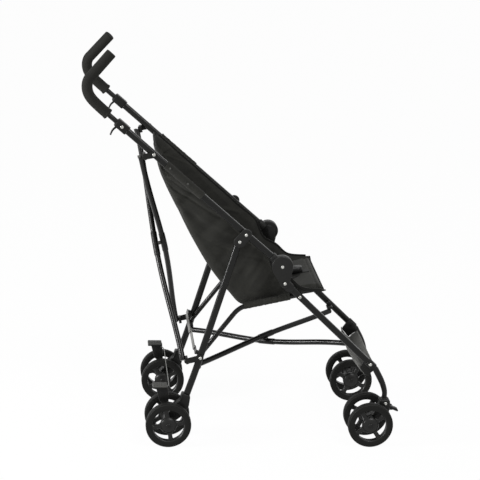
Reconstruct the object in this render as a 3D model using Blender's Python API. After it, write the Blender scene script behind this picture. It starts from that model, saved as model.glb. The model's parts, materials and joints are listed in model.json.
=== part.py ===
# Umbrella-fold pushchair, open, standing on eight small wheels.
# X points forward, Y to the pushchair's left and Z up, in metres.
# Side views are drawn with the rear axle at X = 0 and the floor at Z = 0.
# The last step centres the whole pushchair over the world's origin.

import math

import bmesh
import bpy
from mathutils import Matrix, Vector

# Clearances
GAP = 0.0003
RUNNING = 0.0004
OPEN_PIVOT = 0.0048

# Wheels and axles
WHEEL_RADIUS = 0.060
WHEEL_WIDTH = 0.022
TREAD_FLAT = 0.014
WHEEL_FACETS = 24
RIM_RADIUS = 0.041
WHEEL_HUB_RADIUS = 0.0215
WHEEL_HUB_FACE = 0.010
WHEEL_WEB = 0.006
WHEEL_WINDOWS = 4
WINDOW_INNER = 0.0235
WINDOW_OUTER = 0.0375
WINDOW_HALF_ANGLE = math.radians(34)
WHEELBASE = 0.536
TWIN_HALF = 0.0445
AXLE_RADIUS = 0.003
CAP_RADIUS = 0.0065
CAP_HEIGHT = 0.0022

# Frame tubes
PUSH_TUBE_RADIUS = 0.00875
FRONT_TUBE_RADIUS = 0.00875
REAR_TUBE_DEPTH = 0.018
REAR_TUBE_WIDTH = 0.014
SEAT_TUBE_RADIUS = 0.0065
CROSS_TUBE_RADIUS = 0.00625
LEG_END_RADIUS = 0.0068

# Widths, from the seat outwards: seat cloth, seat tubes, legs
SEAT_HALF_WIDTH = 0.1535
SEAT_TUBE_ROOM = 0.00785
SEAT_TUBE_Y = SEAT_HALF_WIDTH + SEAT_TUBE_ROOM + SEAT_TUBE_RADIUS
LEG_Y = SEAT_TUBE_Y + SEAT_TUBE_RADIUS + RUNNING + FRONT_TUBE_RADIUS

# Main pivots, seen from the side, as (X, Z)
HUB = (0.289, 0.485)
PUSH_ANGLE = math.radians(40.65)
LINK_FROM_HUB = 0.128
BRACE_FROM_HUB = 0.447
CONNECTOR_FROM_HUB = 0.555
GRIP_FROM_HUB = 0.602
LINK_LENGTH = 0.0248
FRONT_LEG_TOP = (0.297, 0.440)
FRONT_LEG_ANGLE = math.radians(43.4)
SEAT_PIVOT_FROM_TOP = 0.0576
FOOTREST_FROM_TOP = 0.326
LOWER_CROSS_FROM_TOP = 0.234
REAR_LEG_BEND = (0.070, 0.193)
REAR_LEG_END = (0.043, WHEEL_RADIUS + 0.052)
SEAT_TUBE_PIVOT_UP = 0.0415
LOWER_CROSS_UP = 0.023
SEAT_TUBE_BEND = (0.183, 0.366)

# Handles
GRIP_RADIUS = 0.0125
STEM_RADIUS = 0.0065
GRIP_BEND = (-0.2205, 0.942)
GRIP_TIP = (-0.161, 1.036)
GRIP_TIP_INWARD = 0.022
STEM_IN_GRIP = 0.024
CONNECTOR_LENGTH = 0.036
CONNECTOR_HALF = 0.0115
TAIL_LENGTH = 0.027

# Hubs, links and brackets
HUB_RADIUS = 0.028
HUB_THICKNESS = 0.0185
HUB_INSET = 0.0045
HUB_PLATE = 0.0061
HUB_PLATE_FOOT_RADIUS = 0.012
LEG_SOCKET_RADIUS = 0.0118
LEG_SOCKET_LENGTH = 0.018
HUB_SOCKET = 0.0195
LUG_RADIUS = 0.018
LUG_FOOT_RADIUS = 0.011
LINK_RADIUS = 0.0152
PLATE = 0.004
SCREW_RADIUS = 0.0042
SCREW_HEIGHT = 0.0016

# Cross braces
BACK_CROSS_Y = LEG_Y - 0.0055
BACK_CROSS_TOP_OFFSET = 0.0337
BACK_CROSS_FOOT_OFFSET = 0.046
BACK_CROSS_BOW = 0.013
LOWER_CROSS_Y = LEG_Y - 0.0285
LOWER_CROSS_BOW = 0.0155
BOSS_LENGTH = 0.018
BOSS_DEPTH = 0.0072
BOSS_INNER = 0.008
REAR_CLIP_RADIUS = 0.0075

# Rear spreader
SPREADER_Y = LEG_Y - 0.0335
SPREADER_FROM_BEND = 0.052
SPREADER_BACK = 0.020
SPREADER_WIDTH = 0.012
SPREADER_THICKNESS = 0.0024
TAB_HALF_WIDTH = 0.005

# Front casters
CASTER_TRAIL = 0.041
SWIVEL_X = WHEELBASE + CASTER_TRAIL
LEG_END_BEND = (SWIVEL_X - 0.005, 0.168)
LEG_END_BOTTOM = WHEEL_RADIUS + 0.043
CASTER_TOP = WHEEL_RADIUS + 0.059
CASTER_HALF_WIDTH = 0.016
LOCK_TIP = (SWIVEL_X + 0.036, WHEEL_RADIUS + 0.027)
LOCK_HALF_WIDTH = 0.009
LOCK_BARREL_RADIUS = 0.0038
LOCK_EAR = 0.003

# Brakes
PEDAL_PIVOT = (-0.004, WHEEL_RADIUS + 0.040)
PEDAL_TREAD = (-0.0225, WHEEL_RADIUS + 0.0935)
TREAD_LENGTH = 0.039
TREAD_WIDTH = 0.038
TREAD_THICKNESS = 0.005
LEVER_HALF_WIDTH = 0.0085
LEVER_BACK = 0.0115
LEVER_FRONT = 0.021
WIRE_RADIUS = 0.0013
WIRE_ABOVE_WHEELS = 0.026
WIRE_FORWARD = 0.007

# Seat
CLOTH = 0.003
FOOTREST_CLOTH = 0.0024
SEAT_TOP_FROM_HUB = 0.412
SEAT_EDGE_STEPS = (0.0, 0.045, 0.10, 0.17, 0.24, 0.31, 0.36)
SEAT_EDGE_FRONT = ((0.272, 0.471), (0.310, 0.448), (0.345, 0.420), (0.404, 0.4145))
SEAT_BACK = ((-0.041, 0.764), (-0.033, 0.724), (-0.0175, 0.684), (0.014, 0.622),
             (0.058, 0.538), (0.104, 0.462), (0.154, 0.398))
SEAT_BACK_BOW = 0.002
SEAT_SECTION_POWER = 0.14
PAD_LENGTH = 0.200
PAD_FRONT = 0.412
SEAT_CORNER = (0.195, 0.3637)
SEAT_FRONT = (0.404, 0.4065)
PAD_BACK_HALF = SEAT_HALF_WIDTH - 0.0225
PAD_FRONT_HALF = SEAT_HALF_WIDTH - 0.0035
PAD_THICKNESS = 0.016
STRAP_WIDTH = 0.025
STRAP = 0.002
BELT_REACH = 0.124
BELT_EDGE = 0.0105
BELT_RISE = 0.009
BUCKLE_X = 0.352
BUCKLE_HALF_LENGTH = 0.020
BUCKLE_HALF_WIDTH = 0.018
BUCKLE_HEIGHT = 0.015
BUTTON_HALF = 0.0085
BUTTON_DEPTH = 0.006
BUTTON_TRAVEL = 0.002


def clear_scene():
    for old in list(bpy.data.objects):
        bpy.data.objects.remove(old, do_unlink=True)


def material(name, colour, roughness, metallic=0.0):
    made = bpy.data.materials.new(name)
    made.use_nodes = True
    shader = made.node_tree.nodes["Principled BSDF"]
    shader.inputs["Base Color"].default_value = (*colour, 1.0)
    shader.inputs["Roughness"].default_value = roughness
    shader.inputs["Metallic"].default_value = metallic
    made.diffuse_color = (*colour, 1.0)
    return made


def solid(name, mesh_data):
    """An object holding a bmesh, with its faces turned outwards."""
    mesh_data.normal_update()
    bmesh.ops.recalc_face_normals(mesh_data, faces=mesh_data.faces)
    mesh = bpy.data.meshes.new(name)
    mesh_data.to_mesh(mesh)
    mesh_data.free()
    made = bpy.data.objects.new(name, mesh)
    bpy.context.scene.collection.objects.link(made)
    return made


def joined(kind, first, others):
    """The first solid united with, or cut by, the others, which are used up."""
    for other in others:
        step = first.modifiers.new("Boolean", "BOOLEAN")
        step.operation = kind
        step.object = other
    bpy.context.view_layer.update()
    seen = first.evaluated_get(bpy.context.evaluated_depsgraph_get())
    mesh = bpy.data.meshes.new_from_object(seen)
    first.modifiers.clear()
    first.data = mesh
    for other in others:
        bpy.data.objects.remove(other, do_unlink=True)
    return first


def united(first, *others):
    return joined("UNION", first, others)


def cut(first, *others):
    return joined("DIFFERENCE", first, others)


def smooth_path(points, steps=4):
    """Points along a curve that passes through every given point."""
    ends = [points[0] * 2 - points[1], *points, points[-1] * 2 - points[-2]]
    path = []
    for a, b, c, d in zip(ends, ends[1:], ends[2:], ends[3:]):
        for k in range(steps):
            t = k / steps
            path.append(
                (b * 2 + (c - a) * t + (a * 2 - b * 5 + c * 4 - d) * t**2
                 + (b * 3 - a - c * 3 + d) * t**3) / 2
            )
    return [*path, points[-1]]


def swept(name, path, across, along, sides=12, side_axis=Vector((0, 1, 0))):
    """A solid tube of elliptic section: across is half its size along side_axis."""
    if isinstance(across, (int, float)):
        across = [across] * len(path)
    if isinstance(along, (int, float)):
        along = [along] * len(path)
    mesh_data = bmesh.new()
    rings = []
    for i, point in enumerate(path):
        tangent = (path[min(i + 1, len(path) - 1)] - path[max(i - 1, 0)]).normalized()
        side = (side_axis - tangent * side_axis.dot(tangent)).normalized()
        up = tangent.cross(side)
        ring = []
        for k in range(sides):
            turn = 2 * math.pi * (k + 0.5) / sides
            offset = side * (across[i] * math.cos(turn)) + up * (along[i] * math.sin(turn))
            ring.append(mesh_data.verts.new(point + offset))
        rings.append(ring)
    for ring, after in zip(rings, rings[1:]):
        for k in range(sides):
            mesh_data.faces.new((ring[k], ring[(k + 1) % sides], after[(k + 1) % sides], after[k]))
    mesh_data.faces.new(rings[0])
    mesh_data.faces.new(rings[-1])
    return solid(name, mesh_data)


def round_tube(name, path, radius, sides=12, side_axis=Vector((0, 1, 0))):
    return swept(name, path, radius, radius, sides, side_axis)


def turned(name, profile, segments, place=Matrix.Identity(4), phase=0.0):
    """A profile of (along the local Y axis, radius) turned about Y; it closes on itself."""
    mesh_data = bmesh.new()
    columns = []
    for along, radius in profile:
        if radius == 0.0:
            columns.append([mesh_data.verts.new((0, along, 0))] * segments)
            continue
        columns.append([
            mesh_data.verts.new((
                radius * math.cos(2 * math.pi * (k + phase) / segments),
                along,
                radius * math.sin(2 * math.pi * (k + phase) / segments),
            ))
            for k in range(segments)
        ])
    for i, column in enumerate(columns):
        after = columns[(i + 1) % len(columns)]
        for k in range(segments):
            loop = [column[k], column[(k + 1) % segments], after[(k + 1) % segments], after[k]]
            corners = list(dict.fromkeys(loop))
            if len(corners) > 2:
                mesh_data.faces.new(corners)
    mesh_data.transform(place)
    return solid(name, mesh_data)


def disc(name, centre, y_low, y_high, radius, segments=24):
    """A round plate lying across Y, its centre given as (X, Z)."""
    place = Matrix.Translation((centre[0], 0, centre[1]))
    profile = [(y_low, 0.0), (y_low, radius), (y_high, radius), (y_high, 0.0)]
    return turned(name, profile, segments, place)


def prism(name, outline, y_low, y_high):
    """An outline of (X, Z) points stretched along Y."""
    mesh_data = bmesh.new()
    low = [mesh_data.verts.new((x, y_low, z)) for x, z in outline]
    high = [mesh_data.verts.new((x, y_high, z)) for x, z in outline]
    mesh_data.faces.new(low)
    mesh_data.faces.new(high)
    for k in range(len(outline)):
        n = (k + 1) % len(outline)
        mesh_data.faces.new((low[k], low[n], high[n], high[k]))
    return solid(name, mesh_data)


def stadium(a, b, radius_a, radius_b, arc=8):
    """The outline round two circles, with centres a and b."""
    lie = math.atan2(b[1] - a[1], b[0] - a[0])
    tilt = math.asin((radius_a - radius_b) / math.dist(a, b))
    turn_b = [lie - math.pi / 2 + tilt + (math.pi - 2 * tilt) * k / arc for k in range(arc + 1)]
    turn_a = [lie + math.pi / 2 - tilt + (math.pi + 2 * tilt) * k / arc for k in range(arc + 1)]
    outline = [(b[0] + radius_b * math.cos(t), b[1] + radius_b * math.sin(t)) for t in turn_b]
    return outline + [(a[0] + radius_a * math.cos(t), a[1] + radius_a * math.sin(t)) for t in turn_a]


def block(name, centre, axes, halves):
    """A box given by its centre, three unit axes and its half sizes."""
    mesh_data = bmesh.new()
    bmesh.ops.create_cube(mesh_data, size=2.0)
    turn = Matrix([a * h for a, h in zip(axes, halves)]).transposed().to_4x4()
    mesh_data.transform(Matrix.Translation(centre) @ turn)
    return solid(name, mesh_data)


def screw_head(side, centre, y_seat):
    """A low round head on the outer side of a plate, sunk a little so it unites with it."""
    low, high = sorted((side * (y_seat - GAP), side * (y_seat + SCREW_HEIGHT)))
    return disc("screw_head", centre, low, high, SCREW_RADIUS, 10)


def side_point(point, y=0.0):
    return Vector((point[0], y, point[1]))


def along(start, angle, length):
    """The (X, Z) point at a length from start, in a direction above forwards."""
    return start[0] + length * math.cos(angle), start[1] + length * math.sin(angle)


def between(a, b, share):
    return a[0] + (b[0] - a[0]) * share, a[1] + (b[1] - a[1]) * share


def unit(a, b):
    """The unit vector from (X, Z) point a to b, in the side plane."""
    return (side_point(b) - side_point(a)).normalized()


# Points that follow from the driving dimensions, in side view
UP_PUSH = math.pi - PUSH_ANGLE
LINK_TOP = along(HUB, UP_PUSH, LINK_FROM_HUB)
LINK_FOOT = along(LINK_TOP, UP_PUSH + math.pi / 2, LINK_LENGTH)
BRACE_PIVOT = along(HUB, UP_PUSH, BRACE_FROM_HUB)
CONNECTOR = along(HUB, UP_PUSH, CONNECTOR_FROM_HUB)
GRIP_FOOT = along(HUB, UP_PUSH, GRIP_FROM_HUB)
SEAT_PIVOT = along(FRONT_LEG_TOP, -FRONT_LEG_ANGLE, SEAT_PIVOT_FROM_TOP)
LOWER_CROSS_FRONT = along(FRONT_LEG_TOP, -FRONT_LEG_ANGLE, LOWER_CROSS_FROM_TOP)
FOOTREST_PIVOT = along(FRONT_LEG_TOP, -FRONT_LEG_ANGLE, FOOTREST_FROM_TOP)
REAR_LEG_ANGLE = math.atan2(LINK_FOOT[1] - REAR_LEG_BEND[1], LINK_FOOT[0] - REAR_LEG_BEND[0])
SEAT_TUBE_FOOT = along(REAR_LEG_BEND, REAR_LEG_ANGLE, SEAT_TUBE_PIVOT_UP)
LOWER_CROSS_REAR = along(REAR_LEG_BEND, REAR_LEG_ANGLE, LOWER_CROSS_UP)
REAR_AXLE = (0.0, WHEEL_RADIUS)
FRONT_AXLE = (WHEELBASE, WHEEL_RADIUS)

HUB_FACE = LEG_Y - HUB_INSET + HUB_THICKNESS

# The two cross braces lie in panels that stay square to the plane of symmetry
BACK_DOWN = unit(BRACE_PIVOT, SEAT_TUBE_FOOT)
BACK_OUT = Vector((0, 1, 0)).cross(BACK_DOWN)
BACK_TOP = side_point(BRACE_PIVOT) + BACK_OUT * BACK_CROSS_TOP_OFFSET
BACK_FOOT = side_point(SEAT_TUBE_FOOT) + BACK_OUT * BACK_CROSS_FOOT_OFFSET
LOWER_FORWARD = unit(LOWER_CROSS_REAR, LOWER_CROSS_FRONT)
LOWER_UP = LOWER_FORWARD.cross(Vector((0, 1, 0)))

BODIES = {}


def body(name, pivot, parent):
    """An empty on a joint's axis, which carries the pieces of one moving body."""
    carrier = bpy.data.objects.new(name, None)
    bpy.context.scene.collection.objects.link(carrier)
    carrier.empty_display_size = 0.02
    if parent is not None:
        carrier.parent = BODIES[parent]
    carrier.location = Vector(pivot) - world_place(parent)
    BODIES[name] = carrier
    return name


def world_place(name):
    total = Vector((0, 0, 0))
    carrier = BODIES.get(name)
    while carrier is not None:
        total += carrier.location
        carrier = carrier.parent
    return total


def piece(name, made, carrier, colour):
    """Name a finished solid, move its origin to its body's pivot and hang it there."""
    made.name = name
    made.data.name = name
    made.data.transform(Matrix.Translation(-world_place(carrier)))
    made.parent = BODIES[carrier]
    made.data.materials.clear()
    made.data.materials.append(colour)
    made.data.shade_smooth()
    made.data.set_sharp_from_angle(angle=math.radians(35))
    return made


def wheel_mesh():
    """One moulded wheel, windowed between hub and rim, with a flat facet at the bottom."""
    reach = WHEEL_RADIUS / math.cos(math.pi / WHEEL_FACETS)
    half = WHEEL_WIDTH / 2
    bore = AXLE_RADIUS + RUNNING
    shoulder = reach - (WHEEL_WIDTH - TREAD_FLAT) / 2
    profile = [
        (-half, bore), (-half, WHEEL_HUB_FACE * 1.5), (-WHEEL_WEB / 2, WHEEL_HUB_RADIUS),
        (-WHEEL_WEB / 2, RIM_RADIUS - 0.003), (-half, RIM_RADIUS), (-half, shoulder),
        (-TREAD_FLAT / 2, reach), (TREAD_FLAT / 2, reach), (half, shoulder), (half, RIM_RADIUS),
        (WHEEL_WEB / 2, RIM_RADIUS - 0.003), (WHEEL_WEB / 2, WHEEL_HUB_RADIUS),
        (half * 0.75, WHEEL_HUB_RADIUS * 0.8), (half, WHEEL_HUB_FACE), (half, bore),
    ]
    wheel = turned("wheel", profile, WHEEL_FACETS, phase=0.5)
    windows = []
    for k in range(WHEEL_WINDOWS):
        middle = 2 * math.pi * (k - 0.12) / WHEEL_WINDOWS
        turns = [middle + WINDOW_HALF_ANGLE * t for t in (-1, -0.5, 0, 0.5, 1)]
        outline = [(WINDOW_OUTER * math.cos(t), WINDOW_OUTER * math.sin(t)) for t in turns]
        outline += [(WINDOW_INNER * math.cos(t), WINDOW_INNER * math.sin(t)) for t in reversed(turns)]
        windows.append(prism("window", outline, -WHEEL_WIDTH, WHEEL_WIDTH))
    wheel = cut(wheel, *windows)
    mesh = wheel.data
    mesh.name = "wheel"
    bpy.data.objects.remove(wheel)
    return mesh


def wheel(name, mesh, side, carrier, parent, axle, y, colour):
    """A copy of the wheel on its own body, dished side outwards."""
    body(carrier, (axle[0], side * y, axle[1]), parent)
    made = bpy.data.objects.new(name, mesh)
    bpy.context.scene.collection.objects.link(made)
    made.parent = BODIES[carrier]
    if side < 0:
        made.rotation_euler.z = math.pi
    if not mesh.materials:
        mesh.materials.append(colour)
        mesh.shade_smooth()
        mesh.set_sharp_from_angle(angle=math.radians(35))


def axle_solid(side, axle):
    """A steel axle through both twins, with a low cap outside each of them."""
    seat = TWIN_HALF + WHEEL_WIDTH / 2 + GAP
    profile = [(-seat - CAP_HEIGHT, 0.0), (-seat - CAP_HEIGHT, CAP_RADIUS * 0.7),
               (-seat, CAP_RADIUS), (-seat, AXLE_RADIUS), (seat, AXLE_RADIUS),
               (seat, CAP_RADIUS), (seat + CAP_HEIGHT, CAP_RADIUS * 0.7), (seat + CAP_HEIGHT, 0.0)]
    place = Matrix.Translation((axle[0], side * LEG_Y, axle[1]))
    return turned("axle", profile, 12, place)


def axle_bore(side, axle):
    reach = TWIN_HALF
    place = Matrix.Translation((axle[0], side * LEG_Y, axle[1]))
    radius = AXLE_RADIUS + GAP
    profile = [(-reach, 0.0), (-reach, radius), (reach, radius), (reach, 0.0)]
    return turned("bore", profile, 12, place)


def axle_boss(side, axle, radius):
    """The round boss that keeps the twins apart."""
    reach = TWIN_HALF - WHEEL_WIDTH / 2 - RUNNING
    return disc("boss", axle, side * LEG_Y - reach, side * LEG_Y + reach, radius, 16)


def push_tube(side):
    """The long tube from hub to handle; past the connector it narrows to the grip's stem."""
    foot = side_point(along(HUB, UP_PUSH, HUB_SOCKET), side * LEG_Y)
    neck_at = CONNECTOR_FROM_HUB + CONNECTOR_LENGTH / 2
    low = side_point(along(HUB, UP_PUSH, neck_at - 0.008), side * LEG_Y)
    neck = side_point(along(HUB, UP_PUSH, neck_at - 0.004), side * LEG_Y)
    top = side_point(along(HUB, UP_PUSH, GRIP_FROM_HUB + STEM_IN_GRIP), side * LEG_Y)
    radii = [PUSH_TUBE_RADIUS, PUSH_TUBE_RADIUS, STEM_RADIUS, STEM_RADIUS]
    return swept("push_tube", [foot, low, neck, top], radii, radii, 14)


def push_tube_room(side):
    """The push tube with its clearance, for cutting the pieces it passes into."""
    foot = side_point(along(HUB, UP_PUSH, HUB_SOCKET - GAP), side * LEG_Y)
    top = side_point(along(HUB, UP_PUSH, CONNECTOR_FROM_HUB + CONNECTOR_LENGTH / 2 - 0.0036), side * LEG_Y)
    return round_tube("room", [foot, top], PUSH_TUBE_RADIUS + GAP, 14)


def stem_room(side):
    low = side_point(along(HUB, UP_PUSH, CONNECTOR_FROM_HUB), side * LEG_Y)
    top = side_point(along(HUB, UP_PUSH, GRIP_FROM_HUB + STEM_IN_GRIP + GAP), side * LEG_Y)
    return round_tube("room", [low, top], STEM_RADIUS + GAP, 14)


def grip(side):
    """The moulded handle: straight off the stem, then round and up to a domed tip."""
    straight = along(HUB, UP_PUSH, GRIP_FROM_HUB + STEM_IN_GRIP)
    lean = side * (LEG_Y - GRIP_TIP_INWARD)
    path = smooth_path([
        side_point(GRIP_FOOT, side * LEG_Y),
        side_point(straight, side * LEG_Y),
        side_point(GRIP_BEND, side * (LEG_Y - GRIP_TIP_INWARD * 0.25)),
        side_point(between(GRIP_BEND, GRIP_TIP, 0.45), side * (LEG_Y - GRIP_TIP_INWARD * 0.6)),
        side_point(GRIP_TIP, lean),
    ], 3)
    radii = [GRIP_RADIUS] * len(path)
    radii[0] = GRIP_RADIUS * 0.85
    radii[-1] = GRIP_RADIUS * 0.72
    return cut(swept("grip", path, radii, radii, 14), stem_room(side))


def connector(side):
    """The moulded sleeve that clamps the handle to the push tube, with its small tail."""
    tube = Vector((math.cos(UP_PUSH), 0, math.sin(UP_PUSH)))
    across = Vector((-tube.z, 0, tube.x))
    centre = side_point(CONNECTOR, side * LEG_Y)
    halves = (CONNECTOR_LENGTH / 2, CONNECTOR_HALF, CONNECTOR_HALF)
    sleeve = block("connector", centre, (tube, Vector((0, 1, 0)), across), halves)
    tail_root = centre + tube * 0.010 + across * (CONNECTOR_HALF - 0.002)
    tail_way = (across * 2 - tube).normalized()
    tail = round_tube("tail", smooth_path([
        tail_root,
        tail_root + tail_way * (TAIL_LENGTH * 0.5) + tube * 0.002,
        tail_root + tail_way * TAIL_LENGTH - tube * 0.001,
    ], 2), 0.002, 6)
    head = screw_head(side, CONNECTOR, LEG_Y + CONNECTOR_HALF)
    return cut(united(sleeve, tail, head), push_tube_room(side), stem_room(side))


def hub(side):
    """The round housing at the push tube's foot, with a socket for the tube."""
    low, high = sorted((side * (LEG_Y - HUB_INSET), side * HUB_FACE))
    housing = disc("hub", HUB, low, high, HUB_RADIUS, 28)
    socket = round_tube("socket", [
        side_point(along(HUB, UP_PUSH, HUB_SOCKET), side * LEG_Y),
        side_point(along(HUB, UP_PUSH, HUB_RADIUS + 0.008), side * LEG_Y),
    ], PUSH_TUBE_RADIUS + 0.003, 14)
    return cut(united(housing, socket), push_tube_room(side))


def lug(side):
    """The plate that carries the front leg on the hub's axis, on the inner side."""
    outer = LEG_Y - HUB_INSET - RUNNING
    low, high = sorted((side * (outer - PLATE), side * outer))
    return prism("lug", stadium(HUB, FRONT_LEG_TOP, LUG_RADIUS, LUG_FOOT_RADIUS), low, high)


def hub_plate(side):
    """The tapered plate that carries the front leg outside the hub, with a socket open inwards and both screws."""
    seat = HUB_FACE + RUNNING
    low, high = sorted((side * seat, side * (seat + HUB_PLATE)))
    plate = prism("hub_plate", stadium(HUB, FRONT_LEG_TOP, HUB_RADIUS, HUB_PLATE_FOOT_RADIUS, 14), low, high)
    low, high = sorted((side * (LEG_Y - FRONT_TUBE_RADIUS * 0.7), side * (seat + GAP)))
    foot = along(FRONT_LEG_TOP, -FRONT_LEG_ANGLE, LEG_SOCKET_LENGTH)
    socket = prism("socket", stadium(FRONT_LEG_TOP, foot, LEG_SOCKET_RADIUS, LEG_SOCKET_RADIUS), low, high)
    heads = [screw_head(side, at, seat + HUB_PLATE) for at in (HUB, FRONT_LEG_TOP)]
    return united(plate, socket, *heads)


def front_leg(side):
    """The straight front tube, hung from the hub between its inner lug and its outer plate."""
    end = along(FRONT_LEG_TOP, -FRONT_LEG_ANGLE, FOOTREST_FROM_TOP + 0.008)
    start = along(FRONT_LEG_TOP, -FRONT_LEG_ANGLE, -0.008)
    tube = round_tube("front_leg", [side_point(start, side * LEG_Y), side_point(end, side * LEG_Y)],
                      FRONT_TUBE_RADIUS, 14)
    heads = [disc("head", at, *sorted((side * (LEG_Y + 0.006), side * (LEG_Y + FRONT_TUBE_RADIUS + SCREW_HEIGHT))),
                  SCREW_RADIUS, 10) for at in (SEAT_PIVOT, FOOTREST_PIVOT)]
    return cut(united(tube, lug(side), hub_plate(side), *heads), leg_end_room(side))


def leg_end_path(side, start_back=0.0):
    entry = along(FOOTREST_PIVOT, -FRONT_LEG_ANGLE, -0.016 - start_back)
    knee = along(FOOTREST_PIVOT, -FRONT_LEG_ANGLE, 0.022)
    y = side * LEG_Y
    bend = smooth_path([
        side_point(knee, y),
        side_point(LEG_END_BEND, y),
        side_point((SWIVEL_X, CASTER_TOP + 0.020), y),
        side_point((SWIVEL_X, CASTER_TOP), y),
    ], 3)
    return [side_point(entry, y), *bend, side_point((SWIVEL_X, LEG_END_BOTTOM), y)]


def leg_end(side):
    """The thinner bent tube that brings the front leg down to its caster."""
    return round_tube("leg_end", leg_end_path(side), LEG_END_RADIUS, 12)


def leg_end_room(side):
    return round_tube("room", leg_end_path(side, GAP), LEG_END_RADIUS + GAP, 12)


def caster(side):
    """The swivelling block between the front twins."""
    y = side * LEG_Y
    low, high = y - CASTER_HALF_WIDTH, y + CASTER_HALF_WIDTH
    outline = [
        (SWIVEL_X - 0.0135, CASTER_TOP), (SWIVEL_X - 0.016, CASTER_TOP - 0.012),
        (FRONT_AXLE[0] + 0.006, FRONT_AXLE[1] + 0.016), (FRONT_AXLE[0] - 0.008, FRONT_AXLE[1] + 0.010),
        (FRONT_AXLE[0] - 0.010, FRONT_AXLE[1] - 0.006), (FRONT_AXLE[0] + 0.002, FRONT_AXLE[1] - 0.013),
        (SWIVEL_X - 0.004, FRONT_AXLE[1] + 0.004), (SWIVEL_X + 0.012, FRONT_AXLE[1] + 0.016),
        (SWIVEL_X + 0.0155, CASTER_TOP - 0.010), (SWIVEL_X + 0.0135, CASTER_TOP),
    ]
    shell = prism("caster", outline, low, high)
    boss = axle_boss(side, FRONT_AXLE, 0.0125)
    head = disc("head", (SWIVEL_X + 0.002, CASTER_TOP - 0.010),
                *sorted((side * (LEG_Y + CASTER_HALF_WIDTH - 0.001),
                         side * (LEG_Y + CASTER_HALF_WIDTH + SCREW_HEIGHT))), SCREW_RADIUS, 10)
    socket = round_tube("room", [
        Vector((SWIVEL_X, y, LEG_END_BOTTOM - RUNNING)), Vector((SWIVEL_X, y, CASTER_TOP + 0.01)),
    ], LEG_END_RADIUS + RUNNING, 12)
    pivot = lock_pivot()
    root = (SWIVEL_X + 0.008, pivot[1])
    ears = [prism("ear", stadium(pivot, root, LOCK_BARREL_RADIUS + 0.001, LOCK_BARREL_RADIUS + 0.001, 5),
                  y + low, y + low + LOCK_EAR) for low in (LOCK_HALF_WIDTH + RUNNING, -LOCK_HALF_WIDTH - RUNNING - LOCK_EAR)]
    return cut(united(shell, boss, head, *ears), axle_bore(side, FRONT_AXLE), socket)


def lock_pivot():
    return SWIVEL_X + 0.0155 + 0.0045, CASTER_TOP - 0.024


def swivel_lock(side):
    """The foot lever at the caster's nose that stops it swivelling."""
    pivot = lock_pivot()
    outline = stadium(pivot, LOCK_TIP, LOCK_BARREL_RADIUS, 0.0022, 5)
    y = side * LEG_Y
    return prism("swivel_lock", outline, y - LOCK_HALF_WIDTH, y + LOCK_HALF_WIDTH)


def rear_leg_path(side):
    y = side * LEG_Y
    top = along(LINK_FOOT, REAR_LEG_ANGLE, 0.004)
    return [side_point(top, y), side_point(REAR_LEG_BEND, y), side_point(REAR_LEG_END, y)]


def rear_leg(side):
    """The flat-oval rear tube, from the link to its wheel housing, with the spreader's tab."""
    tube = swept("rear_leg", rear_leg_path(side), REAR_TUBE_WIDTH / 2, REAR_TUBE_DEPTH / 2, 14)
    up, back, step = spreader_frame(side)
    front = SPREADER_BACK + step - SPREADER_THICKNESS - RUNNING
    leg = side_point(along(REAR_LEG_BEND, REAR_LEG_ANGLE, SPREADER_FROM_BEND))
    stem = block("stem", leg + back * (front / 2) + Vector((0, side * LEG_Y, 0)), (back, Vector((0, 1, 0)), up),
                 (front / 2, TAB_HALF_WIDTH, TAB_HALF_WIDTH))
    inner, outer = SPREADER_Y - SPREADER_WIDTH / 2, LEG_Y + TAB_HALF_WIDTH
    tab = block("tab", leg + back * front + Vector((0, side * (inner + outer) / 2, 0)),
                (back, Vector((0, 1, 0)), up), (SPREADER_THICKNESS / 2, (outer - inner) / 2, SPREADER_WIDTH / 2))
    return united(tube, stem, tab)


def rear_leg_room(side):
    path = rear_leg_path(side)
    last = path[-1] + (path[-1] - path[-2]).normalized() * GAP
    return swept("room", [path[-2], last], REAR_TUBE_WIDTH / 2 + GAP, REAR_TUBE_DEPTH / 2 + GAP, 14)


def rear_housing(side):
    """The moulded block between the rear twins, which holds leg, axle and brake."""
    y = side * LEG_Y
    outline = [
        (REAR_LEG_END[0] + 0.020, REAR_LEG_END[1] + 0.016), (REAR_LEG_END[0] - 0.006, REAR_LEG_END[1] + 0.026),
        (PEDAL_PIVOT[0] + 0.017, PEDAL_PIVOT[1] + 0.009), (PEDAL_PIVOT[0] + 0.0085, PEDAL_PIVOT[1] - 0.012),
        (REAR_AXLE[0] - 0.010, REAR_AXLE[1] + 0.010),
        (REAR_AXLE[0] - 0.010, REAR_AXLE[1] - 0.008), (REAR_AXLE[0] + 0.004, REAR_AXLE[1] - 0.013),
        (REAR_LEG_END[0] - 0.008, REAR_AXLE[1] + 0.010), (REAR_LEG_END[0] + 0.012, REAR_LEG_END[1] - 0.014),
    ]
    shell = prism("rear_housing", outline, y - 0.013, y + 0.013)
    boss = axle_boss(side, REAR_AXLE, 0.0125)
    ears = [prism("ear", stadium(PEDAL_PIVOT, (PEDAL_PIVOT[0] + 0.018, PEDAL_PIVOT[1] - 0.006), 0.006, 0.008, 5),
                  y + low, y + low + 0.004) for low in (-0.013, 0.009)]
    return cut(united(shell, boss, *ears), axle_bore(side, REAR_AXLE), rear_leg_room(side))


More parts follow.
